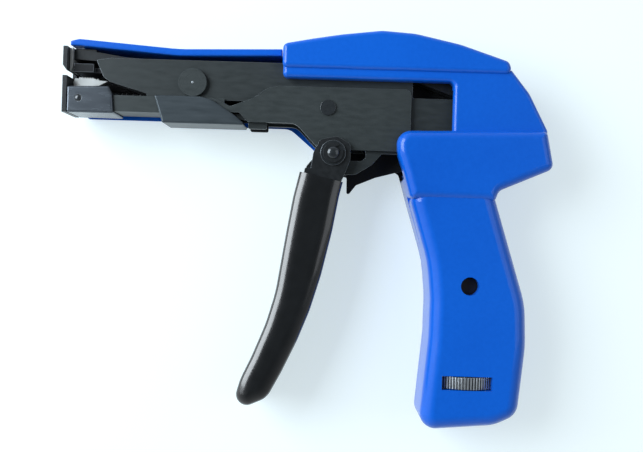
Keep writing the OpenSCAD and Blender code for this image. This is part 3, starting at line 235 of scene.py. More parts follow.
def finish(name, dark, light, rough, grain, relief, stretch=(1, 1, 1), metal=0.0, coat=0.0,
           coat_rough=0.1, specular=0.5):
    made = bpy.data.materials.new(name)
    made.use_nodes = True
    tree = made.node_tree
    shader = tree.nodes["Principled BSDF"]
    for socket, value in [("Metallic", metal), ("Coat Weight", coat),
                          ("Coat Roughness", coat_rough), ("Specular IOR Level", specular)]:
        shader.inputs[socket].default_value = value
    place = added(tree, "TexCoord")
    turn = added(tree, "Mapping", Scale=stretch)
    fine = added(tree, "TexNoise", Scale=grain, Detail=6)
    broad = added(tree, "TexNoise", Scale=PATCH_SCALE, Detail=3)
    tree.links.new(place.outputs["Object"], turn.inputs["Vector"])
    tree.links.new(turn.outputs["Vector"], fine.inputs["Vector"])
    tree.links.new(place.outputs["Object"], broad.inputs["Vector"])
    both = reckoned(tree, "MULTIPLY_ADD", fine.outputs["Fac"], GRAIN_SHARE)
    tree.links.new(broad.outputs["Fac"], both.inputs[2])
    shade = added(tree, "ValToRGB")
    for stop, position, colour in zip(shade.color_ramp.elements, (DARK_UNTIL, LIGHT_FROM),
                                      (dark, light)):
        stop.position, stop.color = position, (*colour, 1)
    tree.links.new(both.outputs["Value"], shade.inputs["Fac"])
    tree.links.new(shade.outputs["Color"], shader.inputs["Base Color"])
    gloss = added(tree, "MapRange", From_Min=GLOSS_FROM, From_Max=GLOSS_TO, To_Min=rough[0],
                  To_Max=rough[1])
    tree.links.new(fine.outputs["Fac"], gloss.inputs["Value"])
    tree.links.new(gloss.outputs["Result"], shader.inputs["Roughness"])
    bump = added(tree, "Bump", Strength=1.0, Distance=relief)
    tree.links.new(fine.outputs["Fac"], bump.inputs["Height"])
    tree.links.new(bump.outputs["Normal"], shader.inputs["Normal"])
    return made

print("a helper for finishes")

# %% [markdown]
# The housing is sprayed in a strong blue and comes out satin, with a thin clear shine. The
# trigger is dipped in a glossy black coating. Both are smooth, so their grain is faint.
# %% Paint and coating
blue_paint = finish("blue_paint", (0.001, 0.104, 0.61), (0.002, 0.128, 0.70), (0.3, 0.38), 900,
                    0.000003, coat=0.5, coat_rough=0.09, specular=0.2)
black_coating = finish("glossy_coating", (0.0035, 0.0048, 0.0060), (0.0065, 0.0085, 0.0105),
                       (0.2, 0.26), 260, 0.000006, coat=1.0, coat_rough=0.12)
print("paint and coating:", blue_paint.name, black_coating.name)

# %% [markdown]
# The plates are blackened steel, which is a dark grey with a faint blue cast once light falls on
# it. Rolled sheet carries fine marks along its length, so the noise is stretched that way. The
# folded pieces are painted lighter, a painted reflection of the pale bench in their rolled folds,
# and the far plate and the anvil deep in the tool take a near-black that is painted shade.
# %% Blackened steels
black_plate = finish("blackened_plate", (0.020, 0.027, 0.029), (0.038, 0.048, 0.051),
                     (0.38, 0.52), 700, 0.000005, stretch=(0.25, 1, 1), metal=0.35)
black_side = finish("blackened_side_plate", (0.031, 0.040, 0.042), (0.047, 0.059, 0.062),
                    (0.36, 0.48), 800, 0.000005, stretch=(0.3, 1, 1), metal=0.35)
# The sheath and the nose block are painted lighter: a painted reflection of the pale bench.
black_sheath = finish("blackened_sheath", (0.044, 0.059, 0.070), (0.066, 0.084, 0.098),
                      (0.3, 0.42), 600, 0.000006, stretch=(0.2, 1, 1), metal=0.45)
black_block = finish("blackened_nose_block", (0.082, 0.100, 0.122), (0.108, 0.128, 0.152),
                     (0.22, 0.3), 500, 0.000005, stretch=(0.2, 1, 1), metal=0.6)
black_lever = finish("blackened_lever", (0.010, 0.013, 0.015), (0.022, 0.026, 0.030),
                     (0.34, 0.46), 800, 0.000005, metal=0.4)
# A near-black for the far plate and the anvil deep in the tool: painted shade.
deep_shade_black = finish("painted_shade_black", (0.006, 0.008, 0.010), (0.012, 0.014, 0.017), (0.55, 0.7), 800,
                   0.000005, metal=0.1, specular=0.3)
print("six blackened steels")

# %% [markdown]
# The springs and the adjuster are bare steel, the pawl is ground bright, and the pins have an
# oiled shine. A near-black steel paints shade where the mechanism lies deep: the nut down the
# sight hole, the far shell's hidden floor and the wheel between its crests take it. Where black
# steel rubs, its edges wear back to grey metal; that lighter finish, which the bevels take, also
# paints the line of highlight along each edge.
# %% Bare steels
bare_steel = finish("bare_steel", (0.30, 0.31, 0.32), (0.46, 0.47, 0.48), (0.26, 0.4), 900,
                    0.000004, stretch=(0.2, 1, 1), metal=0.9)
bright_steel = finish("ground_steel", (0.48, 0.51, 0.51), (0.64, 0.67, 0.67), (0.26, 0.34), 300,
                      0.000001, metal=0.45)
# A near-black steel: painted shade in the sight hole, on the far shell's hidden floor and between
# the wheel's crests.
shade_black_steel = finish("painted_shade_steel", (0.016, 0.015, 0.017), (0.03, 0.03, 0.033), (0.3, 0.45), 700,
                    0.000003, metal=0.5)
wheel_steel = finish("wheel_steel", (0.30, 0.35, 0.39), (0.52, 0.57, 0.62), (0.24, 0.36), 900,
                     0.000002, metal=0.7)
pin_steel = finish("pin_steel", (0.022, 0.028, 0.033), (0.045, 0.054, 0.062), (0.16, 0.24), 900,
                   0.000002, metal=0.5, coat=0.6, coat_rough=0.1)
# The bevels' lighter steel is edge wear and also a painted highlight along each edge.
edge_wear_and_highlight = finish("edge_wear_and_highlight", (0.10, 0.115, 0.13), (0.26, 0.29, 0.32), (0.26, 0.4), 500,
                   0.000003, metal=0.75)
print("six bare steels")

# %% [markdown]
# Every piece is finished in the same three steps. It takes its finish, and with it a lighter
# steel for its bevels if its edges are worn, which also paints a highlight along them. A small
# bevel eases its sharp edges, because a real edge always catches a line of light. Then it is
# shaded smooth and set to ride on its body.
# %% Helpers that finish a piece
def paint(piece, look, bevel_wear_and_highlight=None):
    piece.data.materials.clear()
    piece.data.materials.append(look)
    if bevel_wear_and_highlight:
        piece.data.materials.append(bevel_wear_and_highlight)

def soften(piece, bevel, steps=2, angle=28):
    """Bevels edges sharper than the angle; the bevels take the last finish."""
    pick(piece)
    edge = piece.modifiers.new("soft_edges", "BEVEL")
    edge.width, edge.segments = bevel / 1000, steps
    edge.limit_method, edge.angle_limit = "ANGLE", math.radians(angle)
    edge.use_clamp_overlap = True
    edge.material = len(piece.data.materials) - 1
    bpy.ops.object.modifier_apply(modifier=edge.name)

def settle(piece, body, angle=32):
    """Smooth shading and the body that the piece rides on."""
    pick(piece)
    bpy.ops.object.shade_smooth_by_angle(angle=math.radians(angle))
    weigh = piece.modifiers.new("flat_faces_stay_flat", "WEIGHTED_NORMAL")
    weigh.keep_sharp, weigh.weight = True, 60
    bpy.ops.object.modifier_apply(modifier=weigh.name)
    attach(piece, body)

print("three helpers for finishing a piece")

# %% [markdown]
# Most plates, pins and levers already have their right shape in the CAD model, but every edge
# there is knife sharp. So each such piece is copied, its loose triangles are merged, and flat
# faces are joined again before the edges are eased. The copy stands for the CAD piece, which
# stays hidden for the physics.
# %% Helpers that dress a CAD piece
SAME_PLACE, SAME_PLANE = 0.000002, 0.6

def merged_copy(node):
    source = nodes[node]
    copy = source.copy()
    copy.data = source.data.copy()
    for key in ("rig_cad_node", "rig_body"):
        del copy[key]
    bpy.context.scene.collection.objects.link(copy)
    copy.parent = None
    copy.matrix_world = Matrix.Identity(4)
    copy.name = node + "_finished"
    pick(copy)
    bpy.ops.object.mode_set(mode="EDIT")
    bpy.ops.mesh.select_all(action="SELECT")
    bpy.ops.mesh.remove_doubles(threshold=SAME_PLACE)
    bpy.ops.mesh.dissolve_limited(angle_limit=math.radians(SAME_PLANE))
    bpy.ops.object.mode_set(mode="OBJECT")
    return copy

def part_along(piece, place, normal):
    """Divides the faces that a plane passes through, without taking anything away."""
    pick(piece)
    bpy.ops.object.mode_set(mode="EDIT")
    bpy.ops.mesh.select_all(action="SELECT")
    bpy.ops.mesh.bisect(plane_co=place, plane_no=normal)
    bpy.ops.object.mode_set(mode="OBJECT")

def dress(node, bevel, look, bevel_wear_and_highlight=None):
    copy = merged_copy(node)
    paint(copy, look, bevel_wear_and_highlight)
    soften(copy, bevel)
    settle(copy, nodes[node]["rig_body"])
    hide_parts(node)
    return copy

print("three helpers for dressing a CAD piece")

# %% [markdown]
# The plates of the frame, the levers between them and the small pins and screws are dressed this
# way. The bevels are real sizes: a stamped plate has about 0.15 mm, and a turned pin a little
# more.
# %% Dress the plates, levers and pins
for node, bevel, look, slot, bevel_wear_and_highlight in [
    # The far plate and the anvil take the near-black: painted shade. Bevels that take the lighter
    # steel carry wear and a painted highlight.
    ("right_frame_plate", 0.14, deep_shade_black, "frame_steel", None),
    ("left_frame_plate", 0.14, black_plate, "frame_steel", edge_wear_and_highlight),
    ("nose_plate", 0.15, black_lever, "frame_steel", edge_wear_and_highlight),
    ("anvil", 0.14, deep_shade_black, "anvil_steel", edge_wear_and_highlight),
    ("trip_pin", 0.2, black_plate, "stud_steel", None),
    ("left_side_plate", 0.16, black_side, "side_steel", edge_wear_and_highlight),
    ("right_side_plate", 0.16, black_side, "side_steel", edge_wear_and_highlight),
    ("draw_channel", 0.12, black_side, "side_steel", edge_wear_and_highlight),
    ("guide_rivets", 0.2, pin_steel, "pin_steel", None),
    ("pin_washer", 0.12, pin_steel, "pin_steel", edge_wear_and_highlight),
    ("pin_clip", 0.12, black_lever, "pin_steel", None),
    ("gripper_pawl", 0.08, bright_steel, "pawl_steel", None),
    ("pawl_spring", 0.08, bare_steel, "spring_steel", None),
    ("trigger_lever", 0.2, black_lever, "lever_steel", edge_wear_and_highlight),
    ("trigger_arm", 0.12, black_lever, "lever_steel", None),
    ("trip_lever", 0.12, black_lever, "lever_steel", None),
    ("cutter_lever", 0.12, black_lever, "lever_steel", None),
    ("fulcrum_pin", 0.15, pin_steel, "pin_steel", None),
    ("cutter_blade", 0.06, bright_steel, "blade_steel", None),
    ("spring_cap", 0.3, bare_steel, "adjuster_steel", None),
    # The nut down the sight hole takes the near-black steel: painted shade.
    ("spring_nut", 0.4, shade_black_steel, "adjuster_steel", None),
    ("tension_screw", 0.3, bare_steel, "adjuster_steel", None),
    ("shell_screws", 0.15, bare_steel, "screw_steel", None),
    ("frame_screws", 0.15, bare_steel, "screw_steel", None),
    ("sheath_screws", 0.15, bare_steel, "screw_steel", None),
]:
    made = dress(node, bevel, look, bevel_wear_and_highlight)
    print(made.name, len(made.data.polygons), "faces")

# %% [markdown]
# The far shell's inner floor lies deep in the tool, behind the mechanism, where it is in shade.
# Two cuts across the copy give that patch its border, and the faces of the inner floor that look
# up take the near-black steel: painted shade.
# %% The far shell
SHADE_ABOVE, SHADE_BEHIND, FLOOR_UNDER = 12.4, -5, 3
far_shell = merged_copy("right_housing")
paint(far_shell, blue_paint, shade_black_steel)
part_along(far_shell, spot(0, SHADE_ABOVE), (0, 1, 0))
part_along(far_shell, spot(SHADE_BEHIND, 0), (1, 0, 0))
darkened = 0
# Up-facing faces of the inner floor take the near-black steel: painted shade.
for face in far_shell.data.polygons:
    x, y, z = (face.center - spot(0, 0, 0)) * 1000
    if face.normal.z > 0.9 and z < FLOOR_UNDER and (y > SHADE_ABOVE or x > SHADE_BEHIND):
        face.material_index, darkened = 1, darkened + 1
settle(far_shell, "housing")
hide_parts("right_housing")
print("far shell:", len(far_shell.data.polygons), "faces,", darkened, "of them bare")

# %% [markdown]
# The stud and the pins are turned on a lathe, so their faces carry fine rings, and the pins'
# ends are domed where they were peened over. A circle is extruded from ring to ring, each ring
# scaled to its radius, which follows the profile that a turner would cut.
# %% A helper for turned pieces
def turned(name, x, y, profile, looks, body, slot, bright_from=99, angle=40, sides=72):
    """Turns a profile of radii and heights; faces above bright_from take the second finish."""
    clear_selection()
    r, z = profile[0]
    bpy.ops.mesh.primitive_circle_add(vertices=sides, radius=r / 1000, fill_type="NGON",
                                      location=spot(x, y, MID + z))
    piece = bpy.context.object
    piece.name = name
    bpy.ops.object.transform_apply(location=True, rotation=True, scale=True)
    bpy.ops.object.mode_set(mode="EDIT")
    for next_r, next_z in profile[1:]:
        lift = (0, 0, (next_z - z) / 1000)
        bpy.ops.mesh.extrude_region_move(TRANSFORM_OT_translate={"value": lift})
        bpy.ops.transform.resize(value=(next_r / r, next_r / r, 1),
                                 center_override=spot(x, y, MID + next_z))
        r, z = next_r, next_z
    bpy.ops.mesh.select_all(action="SELECT")
    bpy.ops.mesh.normals_make_consistent(inside=False)
    bpy.ops.object.mode_set(mode="OBJECT")
    paint(piece, *looks)
    for face in piece.data.polygons:
        if face.center.z * 1000 - MID > bright_from:
            face.material_index = 1
    settle(piece, body, angle)
    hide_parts(name.replace("_turned", ""))
    return piece

def quarter_turn(steps):
    return [math.pi / 2 * k / steps for k in range(steps + 1)]

def dome(r, foot, rise, rings=6):
    """Profile of a peened end: a quarter round squashed to its rise."""
    return [(r * max(math.cos(a), 0.06), foot + rise * math.sin(a)) for a in quarter_turn(rings)]

print("helpers for turned pieces")

# %% [markdown]
# The stud's face has two fine rings and a centre mark left bright by the turning. The two pins
# keep a head at the far side and are peened over at the near side.
# %% The turned stud and pins
STUD_AT, STUD_FACE, RING_DEPTH = (-47.4, 22.2), 6.8, 0.03
NOSE_PIN_AT, NOSE_PIN_R = (-85, 15.8), 1.1

def groove(outer, floor, side=0.04):
    """One fine ring cut into the stud's face."""
    foot = STUD_FACE - RING_DEPTH
    return [(outer, STUD_FACE), (outer - side, foot), (outer - side - floor, foot),
            (outer - 2 * side - floor, STUD_FACE)]

stud = turned("cutter_stud_turned", *STUD_AT, [
    (3.4, -6.4), (3.61, -6.2), (3.61, -5.2), (2.5, -5.2), (2.5, 5.2), (4.75, 5.2),
    (4.75, STUD_FACE - 0.14), (4.61, STUD_FACE), *groove(4.1, 0.1), *groove(2.8, 0.08),
    (0.42, STUD_FACE), (0.38, STUD_FACE + 0.02), (0.24, STUD_FACE + 0.13), (0.04, STUD_FACE + 0.16),
], (black_side, wheel_steel), "housing", "stud_steel", STUD_FACE + 0.05, angle=18)
trigger_pin = turned("trigger_pin_turned", 0, 0, [
    (2.8, -9.6), (3, -9.4), (3, -8.8), (2, -8.8), *dome(2, 10.4, 0.8),
], (pin_steel,), "carriage", "pin_steel")
nose_pin = turned("nose_pin_turned", *NOSE_PIN_AT, [
    (0.9, -7.8), (NOSE_PIN_R, -7.6), *dome(NOSE_PIN_R, 7.7, 0.45),
], (pin_steel,), "carriage", "pin_steel")
print("turned:", [piece.name for piece in (stud, trigger_pin, nose_pin)])

# %% [markdown]
# The moulded forms are all of one kind: an outline with eased corners, and long edges rolled
# over to a radius. The outline is worked out first as a list of points, each corner turned into
# a short arc. Drawing in the points, and not scaling them, keeps the roll even all round.
# %% Helpers for outlines
def along(a, b):
    return (b - a).normalized()

def left_of(v):
    return Vector((-v.y, v.x))

def drawn_in(points, d):
    made = []
    for i, p in enumerate(points):
        u, v = along(points[i - 1], p), along(p, points[(i + 1) % len(points)])
        made.append(p + (left_of(u) + left_of(v)) * (d / (1 + u.dot(v))))
    return made

def eased(points, radii, d, turn=6, least=0.2):
    """The outline drawn in by d, each corner an arc; outlines run anticlockwise."""
    ring, made = drawn_in(points, d), []
    for i, p in enumerate(ring):
        u, v = along(ring[i - 1], p), along(p, ring[(i + 1) % len(ring)])
        side = 1 if u.x * v.y - u.y * v.x > 0 else -1
        r = max(radii[i] - side * d, least)
        sweep = math.acos(max(-1, min(1, u.dot(v))))
        steps = max(2, math.ceil(math.degrees(sweep) / turn))
        middle = p - u * r * math.tan(sweep / 2) + left_of(u) * side * r
        first = math.atan2(u.y, u.x) - side * math.pi / 2
        for k in range(steps + 1):
            a = first + side * sweep * k / steps
            made.append(middle + Vector((math.cos(a), math.sin(a))) * r)
    return made

print("helpers for outlines")

# %% [markdown]
# The form is then made as by hand: a circle primitive takes the outline's places, and it is
# extruded ring by ring up to the face, each ring drawn a little further in. So the roll keeps
# its true radius even at tight corners. A roll may also be flatter than it is wide.
# %% A helper for rolled forms
def key_of(v):
    return round(v.co.x, 8), round(v.co.y, 8)

def rolled(name, points, corners, low, high, low_roll=0, high_roll=0, rings=6, depth=None):
    quarter = [(1 - math.sin(a), 1 - math.cos(a)) for a in quarter_turn(rings)]
    levels = [(low_roll * i, low + low_roll * j) for i, j in quarter] if low_roll else [(0, low)]
    if high_roll:
        drop = depth or high_roll
        levels += [(high_roll * i, high - drop * j) for i, j in reversed(quarter)]
    else:
        levels += [(0, high)]
    points = [Vector(p) for p in points]
    outlines = [eased(points, corners, d) for d, z in levels]
    clear_selection()
    bpy.ops.mesh.primitive_circle_add(vertices=len(outlines[0]), radius=0.05, fill_type="NGON")
    piece = bpy.context.object
    piece.name = name
    bpy.ops.object.mode_set(mode="EDIT")
    mesh = bmesh.from_edit_mesh(piece.data)
    ring = list(mesh.verts)
    for k, (outline, (d, z)) in enumerate(zip(outlines, levels)):
        if k:
            bpy.ops.mesh.extrude_region_move()
            mesh = bmesh.from_edit_mesh(piece.data)
            was = {key_of(v): v for v in mesh.verts if v.select}
            ring = [was[key] for key in keys]
        for v, p in zip(ring, outline):
            v.co = spot(p.x, p.y, z)
        keys = [key_of(v) for v in ring]
        bmesh.update_edit_mesh(piece.data)
    bpy.ops.mesh.select_all(action="SELECT")
    bpy.ops.mesh.normals_make_consistent(inside=False)
    bpy.ops.object.mode_set(mode="OBJECT")
    return piece

print("a helper for rolled forms")

# %% [markdown]
# Hollows, windows and bores are cut with plain blocks and rounds, which are used up by the cut
# and never seen.
# %% Helpers that cut and join
def block_of(name, low, high, turned_by=0):
    """A block between two corners, turned about the trigger's pin by some degrees."""
    clear_selection()
    bpy.ops.mesh.primitive_cube_add(size=1)
    piece = bpy.context.object
    piece.name = name
    a, b = Vector(low), Vector(high)
    shape = Matrix.Translation((a + b) / 2) @ Matrix.Diagonal((*(b - a), 1))
    turn = Matrix.Rotation(math.radians(turned_by), 4, "Z")
    to_metres = Matrix.Translation(spot(0, 0, 0)) @ Matrix.Diagonal((0.001, 0.001, 0.001, 1))
    piece.data.transform(to_metres @ turn @ shape)
    return piece

def round_of(name, x, y, r, low, high, sides=64):
    clear_selection()
    bpy.ops.mesh.primitive_cylinder_add(vertices=sides, radius=r / 1000,
                                        depth=(high - low) / 1000)
    piece = bpy.context.object
    piece.name = name
    piece.data.transform(Matrix.Translation(spot(x, y, (low + high) / 2)))
    return piece

def combine(piece, other, how="DIFFERENCE"):
    """Cuts with another closed form, or joins it, and uses it up."""
    pick(piece)
    step = piece.modifiers.new("combine", "BOOLEAN")
    step.operation, step.solver, step.object = how, "EXACT", other
    bpy.ops.object.modifier_apply(modifier=step.name)
    bpy.data.objects.remove(other)

print("helpers that cut and join")

# %% [markdown]
# The near shell is four rolled forms run together: the hump's raised pad, the rear flank with
# the bead that runs forward under the pad, the heel block and the grip. Their faces lie at
# different heights, which gives the steps and the grooves between them. Each form starts at a
# level of its own below the parting plane, so that no two of their lower faces coincide.
# %% Outlines of the near shell
HUMP = [(-17.5, 27.5), (58.4, 27.5), (57.03, 31.6), (40.87, 36.8), (26.07, 39.91), (14.99, 40.6),
        (2.01, 39.0), (-7.33, 37.4), (-17.5, 35.4)]
HUMP_CORNERS = [1.7, 1.83, 2.49, 24.89, 19.65, 11.79, 30.13, 39.3, 1.97]
FLANK = [(-17.3, 24.5), (39.2, 24.5), (39.2, 0.2), (70.61, 0.2), (70.61, 9.3), (64.3, 21.4),
         (58.2, 29), (-17.3, 29)]
FLANK_CORNERS = [1.5, 1.5, 0.2, 0.2, 3, 12, 0.2, 0.2]
BLOCK = [(25.91, -14.4), (53.81, -14.4), (54.99, -11.01), (72.81, -3.19), (70.3, 9.3),
         (20.69, 7.9), (21.2, 0.6), (23.4, -5.61)]
BLOCK_CORNERS = [1.9, 1.42, 3.08, 2.61, 1.9, 4.5, 8.06, 18.96]
GRIP = [(30.91, -90.9), (56.0, -88.64), (63.61, -85.02), (65.79, -62.16), (65.21, -48.21),
        (52.32, -7.36), (29.02, -7.36), (26.2, -15.01), (32.41, -35.26), (33.6, -47.2),
        (33.5, -60.14)]
GRIP_CORNERS = [5.12, 12.16, 6.08, 40, 30.08, 1.92, 1.92, 3.84, 40, 40, 40]

left_shell = rolled("left_housing_finished", HUMP, HUMP_CORNERS, 11, 23.2, 0, 1.6)
for name, outline, corners, low, face_level, roll in [
    ("flank", FLANK, FLANK_CORNERS, 10, 21.9, 1.5),
    ("block", BLOCK, BLOCK_CORNERS, 9, 24, 3),
    ("grip", GRIP, GRIP_CORNERS, 8, 23, 4.6),
]:
    combine(left_shell, rolled(name, outline, corners, low, face_level, 0, roll), "UNION")
print("outside of the near shell:", len(left_shell.data.polygons), "faces")

# %% [markdown]
# The inside is hollow to a 2 mm wall, open where the frame and the side plates pass, with a
# round sight hole and the slot for the tension wheel. The bottom is cut off at the parting plane.
# %% Hollow the near shell
INSIDE = [(33.1, -88.7), (55.46, -86.68), (61.73, -83.7), (63.78, -62.11), (63.22, -48.52),
          (52.61, -9.87), (70.57, -1.99), (68.71, 8.54), (56.59, 26.61), (55.46, 30.01),
          (40.35, 34.87), (25.8, 37.92), (15.05, 38.59), (2.3, 37.02), (-6.97, 35.44),
          (-15.5, 33.76), (-15.5, 26.5), (41.2, 26.5), (41.2, 4.12), (22.85, 5.71),
          (23.18, 1.01), (25.3, -4.98), (34.38, -34.87), (35.6, -47.11), (35.5, -60.23)]
SHARP = 0.2
SCREW_X, SIGHT_Y, SIGHT_R, ROOF = 46.2, -42.6, 3, 19.9

combine(left_shell, rolled("inside", INSIDE, [SHARP] * len(INSIDE), 5, ROOF))
combine(left_shell, block_of("frame_way", (-18.5, -7.8, 5), (41.8, 30.1, 17.5)))
combine(left_shell, block_of("plate_way", (0, 0, 5), (41.8, 22.2, 19.3)))
combine(left_shell, block_of("parting", (-30, -100, 0), (90, 60, MID)))
combine(left_shell, round_of("sight_hole", SCREW_X, SIGHT_Y, SIGHT_R, 0, 30))
combine(left_shell, block_of("wheel_slot", (37.9, -76.8, 0), (54.5, -72.2, 30)))
paint(left_shell, blue_paint)
soften(left_shell, 0.25, 2, 40)
settle(left_shell, "housing", 30)
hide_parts("left_housing")
print("near shell:", len(left_shell.data.polygons), "faces")

# %% [markdown]
# The trigger's coating is thick and smooth, so the sleeve is one rolled form with the steel
# channel taken out of it, open along the back and cut off square near the top. Its near edge is
# rolled wide and shallow, and that shoulder catches the window's light from end to end.
# %% Outlines of the trigger
COATING = [(-9.33, 0), (-12.8, -14.84), (-14.67, -26.29), (-17.72, -46.81), (-20.69, -57.32),
           (-25.1, -68.43), (-28.66, -76.07), (-31.38, -87.0), (-19.5, -81.83),
           (-15.01, -73.27), (-10.09, -62.67), (-6.19, -52.58), (-2.71, -40.62),
           (0.51, -26.03), (2.46, -14.33), (6.95, 5.09)]
COATING_CORNERS = [1.7, 42.4, 42.4, 42.4, 42.4, 42.4, 25.44, 3.6, 7.04, 33.92, 42.4, 42.4, 42.4,
                   42.4, 42.4, 1.7]
STEEL = [(-8.15, -1.1), (-11.43, -15.11), (-13.29, -26.5), (-16.35, -47.1), (-19.36, -57.77),
         (-23.81, -68.99), (-27.34, -76.53), (-29.33, -84.59), (-20.51, -80.75),
         (-16.27, -72.65), (-11.38, -62.12), (-7.52, -52.13), (-4.07, -40.27), (-0.87, -25.77),
         (1.09, -14.06), (5.04, 3.02)]
STEEL_CORNERS = [0.3, 41, 41, 43.8, 43.8, 43.8, 24.04, 2.2, 5.64, 32.52, 41, 41, 41, 41, 43.8,
                 0.3]
CHANNEL = [(-6.8, -2.35), (-9.86, -15.42), (-11.71, -26.75), (-14.78, -47.44), (-17.85, -58.29),
           (-22.34, -69.62), (-25.82, -77.07), (-36.34, -92.87), (-17.05, -84.47),
           (-11.96, -74.77), (-6.96, -64.0), (-2.97, -53.67), (0.58, -41.46), (3.85, -26.68),
           (5.8, -14.99), (11.6, 10.1)]
print("the trigger's outlines have", len(COATING), len(STEEL), len(CHANNEL), "points")

# %% [markdown]
# The sleeve starts as the rolled outline of the coating. The steel and the channel's open inside
# are cut out of it, and last a block turned by the coating's tilt cuts its top off square.
# %% The trigger's coating
FAR_ROLL, NEAR_ROLL, NEAR_DEPTH = 3.4, 5.0, 2.2
COATING_TILT = -12

sleeve = rolled("trigger_sleeve_finished", COATING, COATING_CORNERS, 2.3, 21.7, FAR_ROLL,
                NEAR_ROLL, 10, NEAR_DEPTH)
combine(sleeve, rolled("steel", STEEL, STEEL_CORNERS, 3.2, 20.8))
combine(sleeve, rolled("channel", CHANNEL, [SHARP] * len(CHANNEL), 4.8, 19.2))
combine(sleeve, block_of("coating_end", (-85, -8.6, -1), (85, 77, 25), COATING_TILT))
paint(sleeve, black_coating)
soften(sleeve, 0.3, 3, 40)
settle(sleeve, "trigger", 30)
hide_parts("trigger_sleeve")
print("trigger coating:", len(sleeve.data.polygons), "faces")

# %% [markdown]
# The sheath is folded from sheet: a rolled form, hollowed from above by a block, so that the
# fold keeps its round outside and its thin wall.
# %% The folded sheath
FOLD, FOLD_BEVEL = 0.72, 0.16
SHEATH = [(-57, 8.4), (-29.1, 8.4), (-33.6, 12.04), (-40.8, 16.59), (-44.4, 17.5), (-60, 17.5)]
SHEATH_CORNERS = [0.54, 0.54, 3.6, 7.2, 5.4, 0.54]

sheath = rolled("barrel_sheath_finished", SHEATH, SHEATH_CORNERS, 3.9, 20.1, FOLD, FOLD)
combine(sheath, block_of("sheath_way", (-61, 9.3, 4.8), (-1, 30, 19.2)))
paint(sheath, black_sheath, edge_wear_and_highlight)
soften(sheath, FOLD_BEVEL, 2, 40)
settle(sheath, "housing")
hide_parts("barrel_sheath")
print("sheath folded:", len(sheath.data.polygons), "faces")

# %% [markdown]
# The nose block is folded and hollowed in the same way, and then bored for the pawl's pin.
# %% The folded nose block
NOSE = [(-88.9, 11), (-73.3, 11), (-73.9, 17.6), (-75.1, 20), (-88.9, 19.7)]
NOSE_CORNERS = [0.6, 0.6, 1.44, 0.96, 0.6]
NOSE_FLOOR = 11.8

nose = rolled("nose_block_finished", NOSE, NOSE_CORNERS, 4.2, 19.8, FOLD, FOLD)
combine(nose, block_of("nose_way", (-90, NOSE_FLOOR, 5.4), (-70, 30, 18.6)))
combine(nose, round_of("nose_bore", *NOSE_PIN_AT, NOSE_PIN_R, 0, 24, 32))
paint(nose, black_block, edge_wear_and_highlight)
soften(nose, FOLD_BEVEL, 2, 40)
settle(nose, "carriage")
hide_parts("nose_block")
print("nose block folded:", len(nose.data.polygons), "faces")

# %% [markdown]
# The tension wheel is a turned disc with straight knurls rolled into its rim. It is blackened
# steel with crests worn bright; the crests take a light steel and the rest a near-black one, which
# also paints a highlight on the crests and shade in the grooves between them.
# A circle takes the knurls' places and is extruded to the wheel's thickness. Each pair below is
# a share of one knurl's width, and how deep the rim is there.
# %% The tension wheel
RIBS, WHEEL_R, WHEEL_THICK, WHEEL_Y, SCREW_R = 72, 11.4, 4, -74.5, 3.05
RIB_SHAPE = [(0, 0), (0.42, 0), (0.56, 0.55), (0.86, 0.55)]
rim = [((k + part) * 2 * math.pi / RIBS, WHEEL_R - deep)
       for k in range(RIBS) for part, deep in RIB_SHAPE]
clear_selection()
bpy.ops.mesh.primitive_circle_add(vertices=len(rim), radius=0.05, fill_type="NGON")
wheel = bpy.context.object
wheel.name = "tension_wheel_finished"
bpy.ops.object.mode_set(mode="EDIT")
mesh = bmesh.from_edit_mesh(wheel.data)
for v, (turn, r) in zip(list(mesh.verts), rim):
    v.co = Vector((r * math.cos(turn), r * math.sin(turn), -WHEEL_THICK / 2)) / 1000
bmesh.update_edit_mesh(wheel.data)
thickness = (0, 0, WHEEL_THICK / 1000)
bpy.ops.mesh.extrude_region_move(TRANSFORM_OT_translate={"value": thickness})
bpy.ops.mesh.select_all(action="SELECT")
bpy.ops.mesh.normals_make_consistent(inside=False)
bpy.ops.object.mode_set(mode="OBJECT")
print("rim of", RIBS, "knurls, each", round(2 * math.pi * WHEEL_R / RIBS, 2), "mm wide")

# %% [markdown]
# The wheel is turned to stand on the screw's axis and bored for the screw. The crests are then
# found by how far a face lies from that axis.
# %% Bore and finish the wheel
axle = spot(SCREW_X, WHEEL_Y)
upright = Matrix.Translation(axle) @ Matrix.Rotation(-math.pi / 2, 4, "X")
wheel.data.transform(upright)
screw_hole = round_of("screw_hole", 0, 0, SCREW_R, -10, 34, 48)
screw_hole.data.transform(upright @ Matrix.Translation(-spot(0, 0)))
combine(wheel, screw_hole)
# Crests take the light steel, the rest near-black: wear and painted highlight on the crests,
# painted shade in the grooves.
paint(wheel, shade_black_steel, wheel_steel)
for face in wheel.data.polygons:
    reach = math.hypot(face.center.x - axle.x, face.center.z - axle.z) * 1000
    face.material_index = 1 if reach > WHEEL_R - 0.1 else 0
soften(wheel, 0.09, 2, 30)
settle(wheel, "adjuster", 30)
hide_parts("tension_wheel")
print("tension wheel:", len(wheel.data.polygons), "faces")

# %% [markdown]
# Both springs are wound as real ones are: one wire round the axis, with its first and last turns
# laid flat so that they seat squarely. A path takes the wire's course, its bevel gives the wire
# its thickness, and it is then made a mesh. A seated end takes a flat turn; an open end doesn't.
# %% A helper for springs
STEPS_A_TURN, SEAT_GAP = 24, 0.45

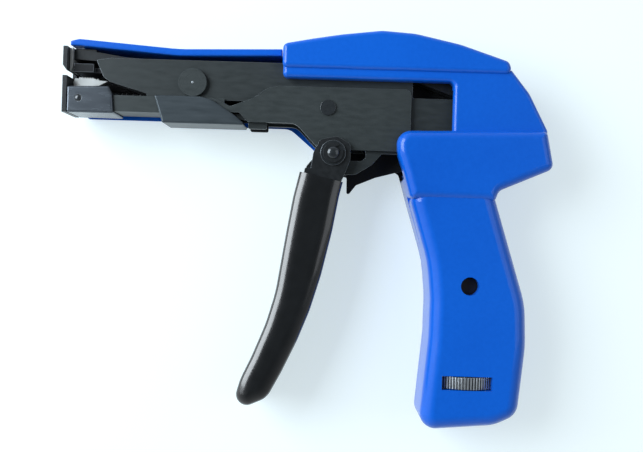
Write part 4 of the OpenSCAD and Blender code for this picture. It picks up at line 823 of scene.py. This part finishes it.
def wind(name, foot, axis_turn, r, wire, turns, length, seats=(1, 1)):
    steps = turns * STEPS_A_TURN
    first, last = STEPS_A_TURN * seats[0], STEPS_A_TURN * seats[1]
    seat_rise = wire + SEAT_GAP
    slack = length - (wire / 2 + seat_rise) * sum(seats)
    clear_selection()
    bpy.ops.curve.primitive_nurbs_path_add()
    line = bpy.context.object
    line.name = name
    spline = line.data.splines[0]
    spline.points.add(steps + 1 - len(spline.points))
    for k in range(steps + 1):
        a = 2 * math.pi * k / STEPS_A_TURN
        flat = seat_rise * (min(k, first) + max(0, k - steps + last)) / STEPS_A_TURN
        rise = slack * min(1, max(0, (k - first) / (steps - first - last)))
        height = wire / 2 * seats[0] + flat + rise
        reach = r - wire / 2
        place = Vector((reach * math.cos(a), reach * math.sin(a), height)) / 1000
        spline.points[k].co = (*(foot + axis_turn @ place), 1)
    spline.order_u, spline.use_endpoint_u = 3, True
    line.data.bevel_depth, line.data.bevel_resolution = wire / 2000, 3
    line.data.use_fill_caps, line.data.resolution_u = True, 1
    pick(line)
    bpy.ops.object.convert(target="MESH")
    spring = bpy.context.object
    spring.name = name
    bpy.ops.object.transform_apply(location=True, rotation=True, scale=True)
    paint(spring, bare_steel)
    settle(spring, "housing", 60)
    return spring

print("a helper for springs")

# %% [markdown]
# The stiff spring is pressed from both ends, by the cap and by the nut, so it is wound as two
# halves whose wires meet in the middle. The light one returns the carriage.
# %% The springs
COIL_FOOT, COIL_LENGTH, COIL_R, COIL_WIRE = -40, 27, 5.4, 1.7
NUT_STROKE, CAP_STROKE = 4, 1.15
half = COIL_LENGTH / 2
middle_y = COIL_FOOT + half
up_grip = Matrix.Rotation(-math.pi / 2, 3, "X")
for end, seats, foot_y, joint, stroke in [
    ("low", (1, 0), COIL_FOOT, "nut_slide", NUT_STROKE),
    ("high", (0, 1), middle_y, "cap_slide", CAP_STROKE),
]:
    coil = wind("tension_spring_wound_" + end, spot(SCREW_X, foot_y), up_grip, COIL_R, COIL_WIRE,
                4, half, seats)
    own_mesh(coil)
    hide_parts("tension_spring")

SMALL_END, SMALL_LENGTH, SMALL_Y, CARRIAGE_STROKE = -53.4, 19.2, 16.2, 8.8
along_barrel = Matrix.Rotation(math.pi / 2, 3, "Y")
small_coil = wind("return_spring_wound", spot(SMALL_END - SMALL_LENGTH, SMALL_Y), along_barrel,
                  2.6, 0.6, 9, SMALL_LENGTH)
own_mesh(small_coil)
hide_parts("return_spring")
print("springs:", len(coil.data.polygons), "and", len(small_coil.data.polygons), "faces")

# %% [markdown]
# The size of the finished model is printed. The finished model has to stay inside the size of the
# CAD model.
# %% Sizes, and the end
low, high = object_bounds()
print("visual model", [round(v * 1000, 1) for v in high - low], "mm")
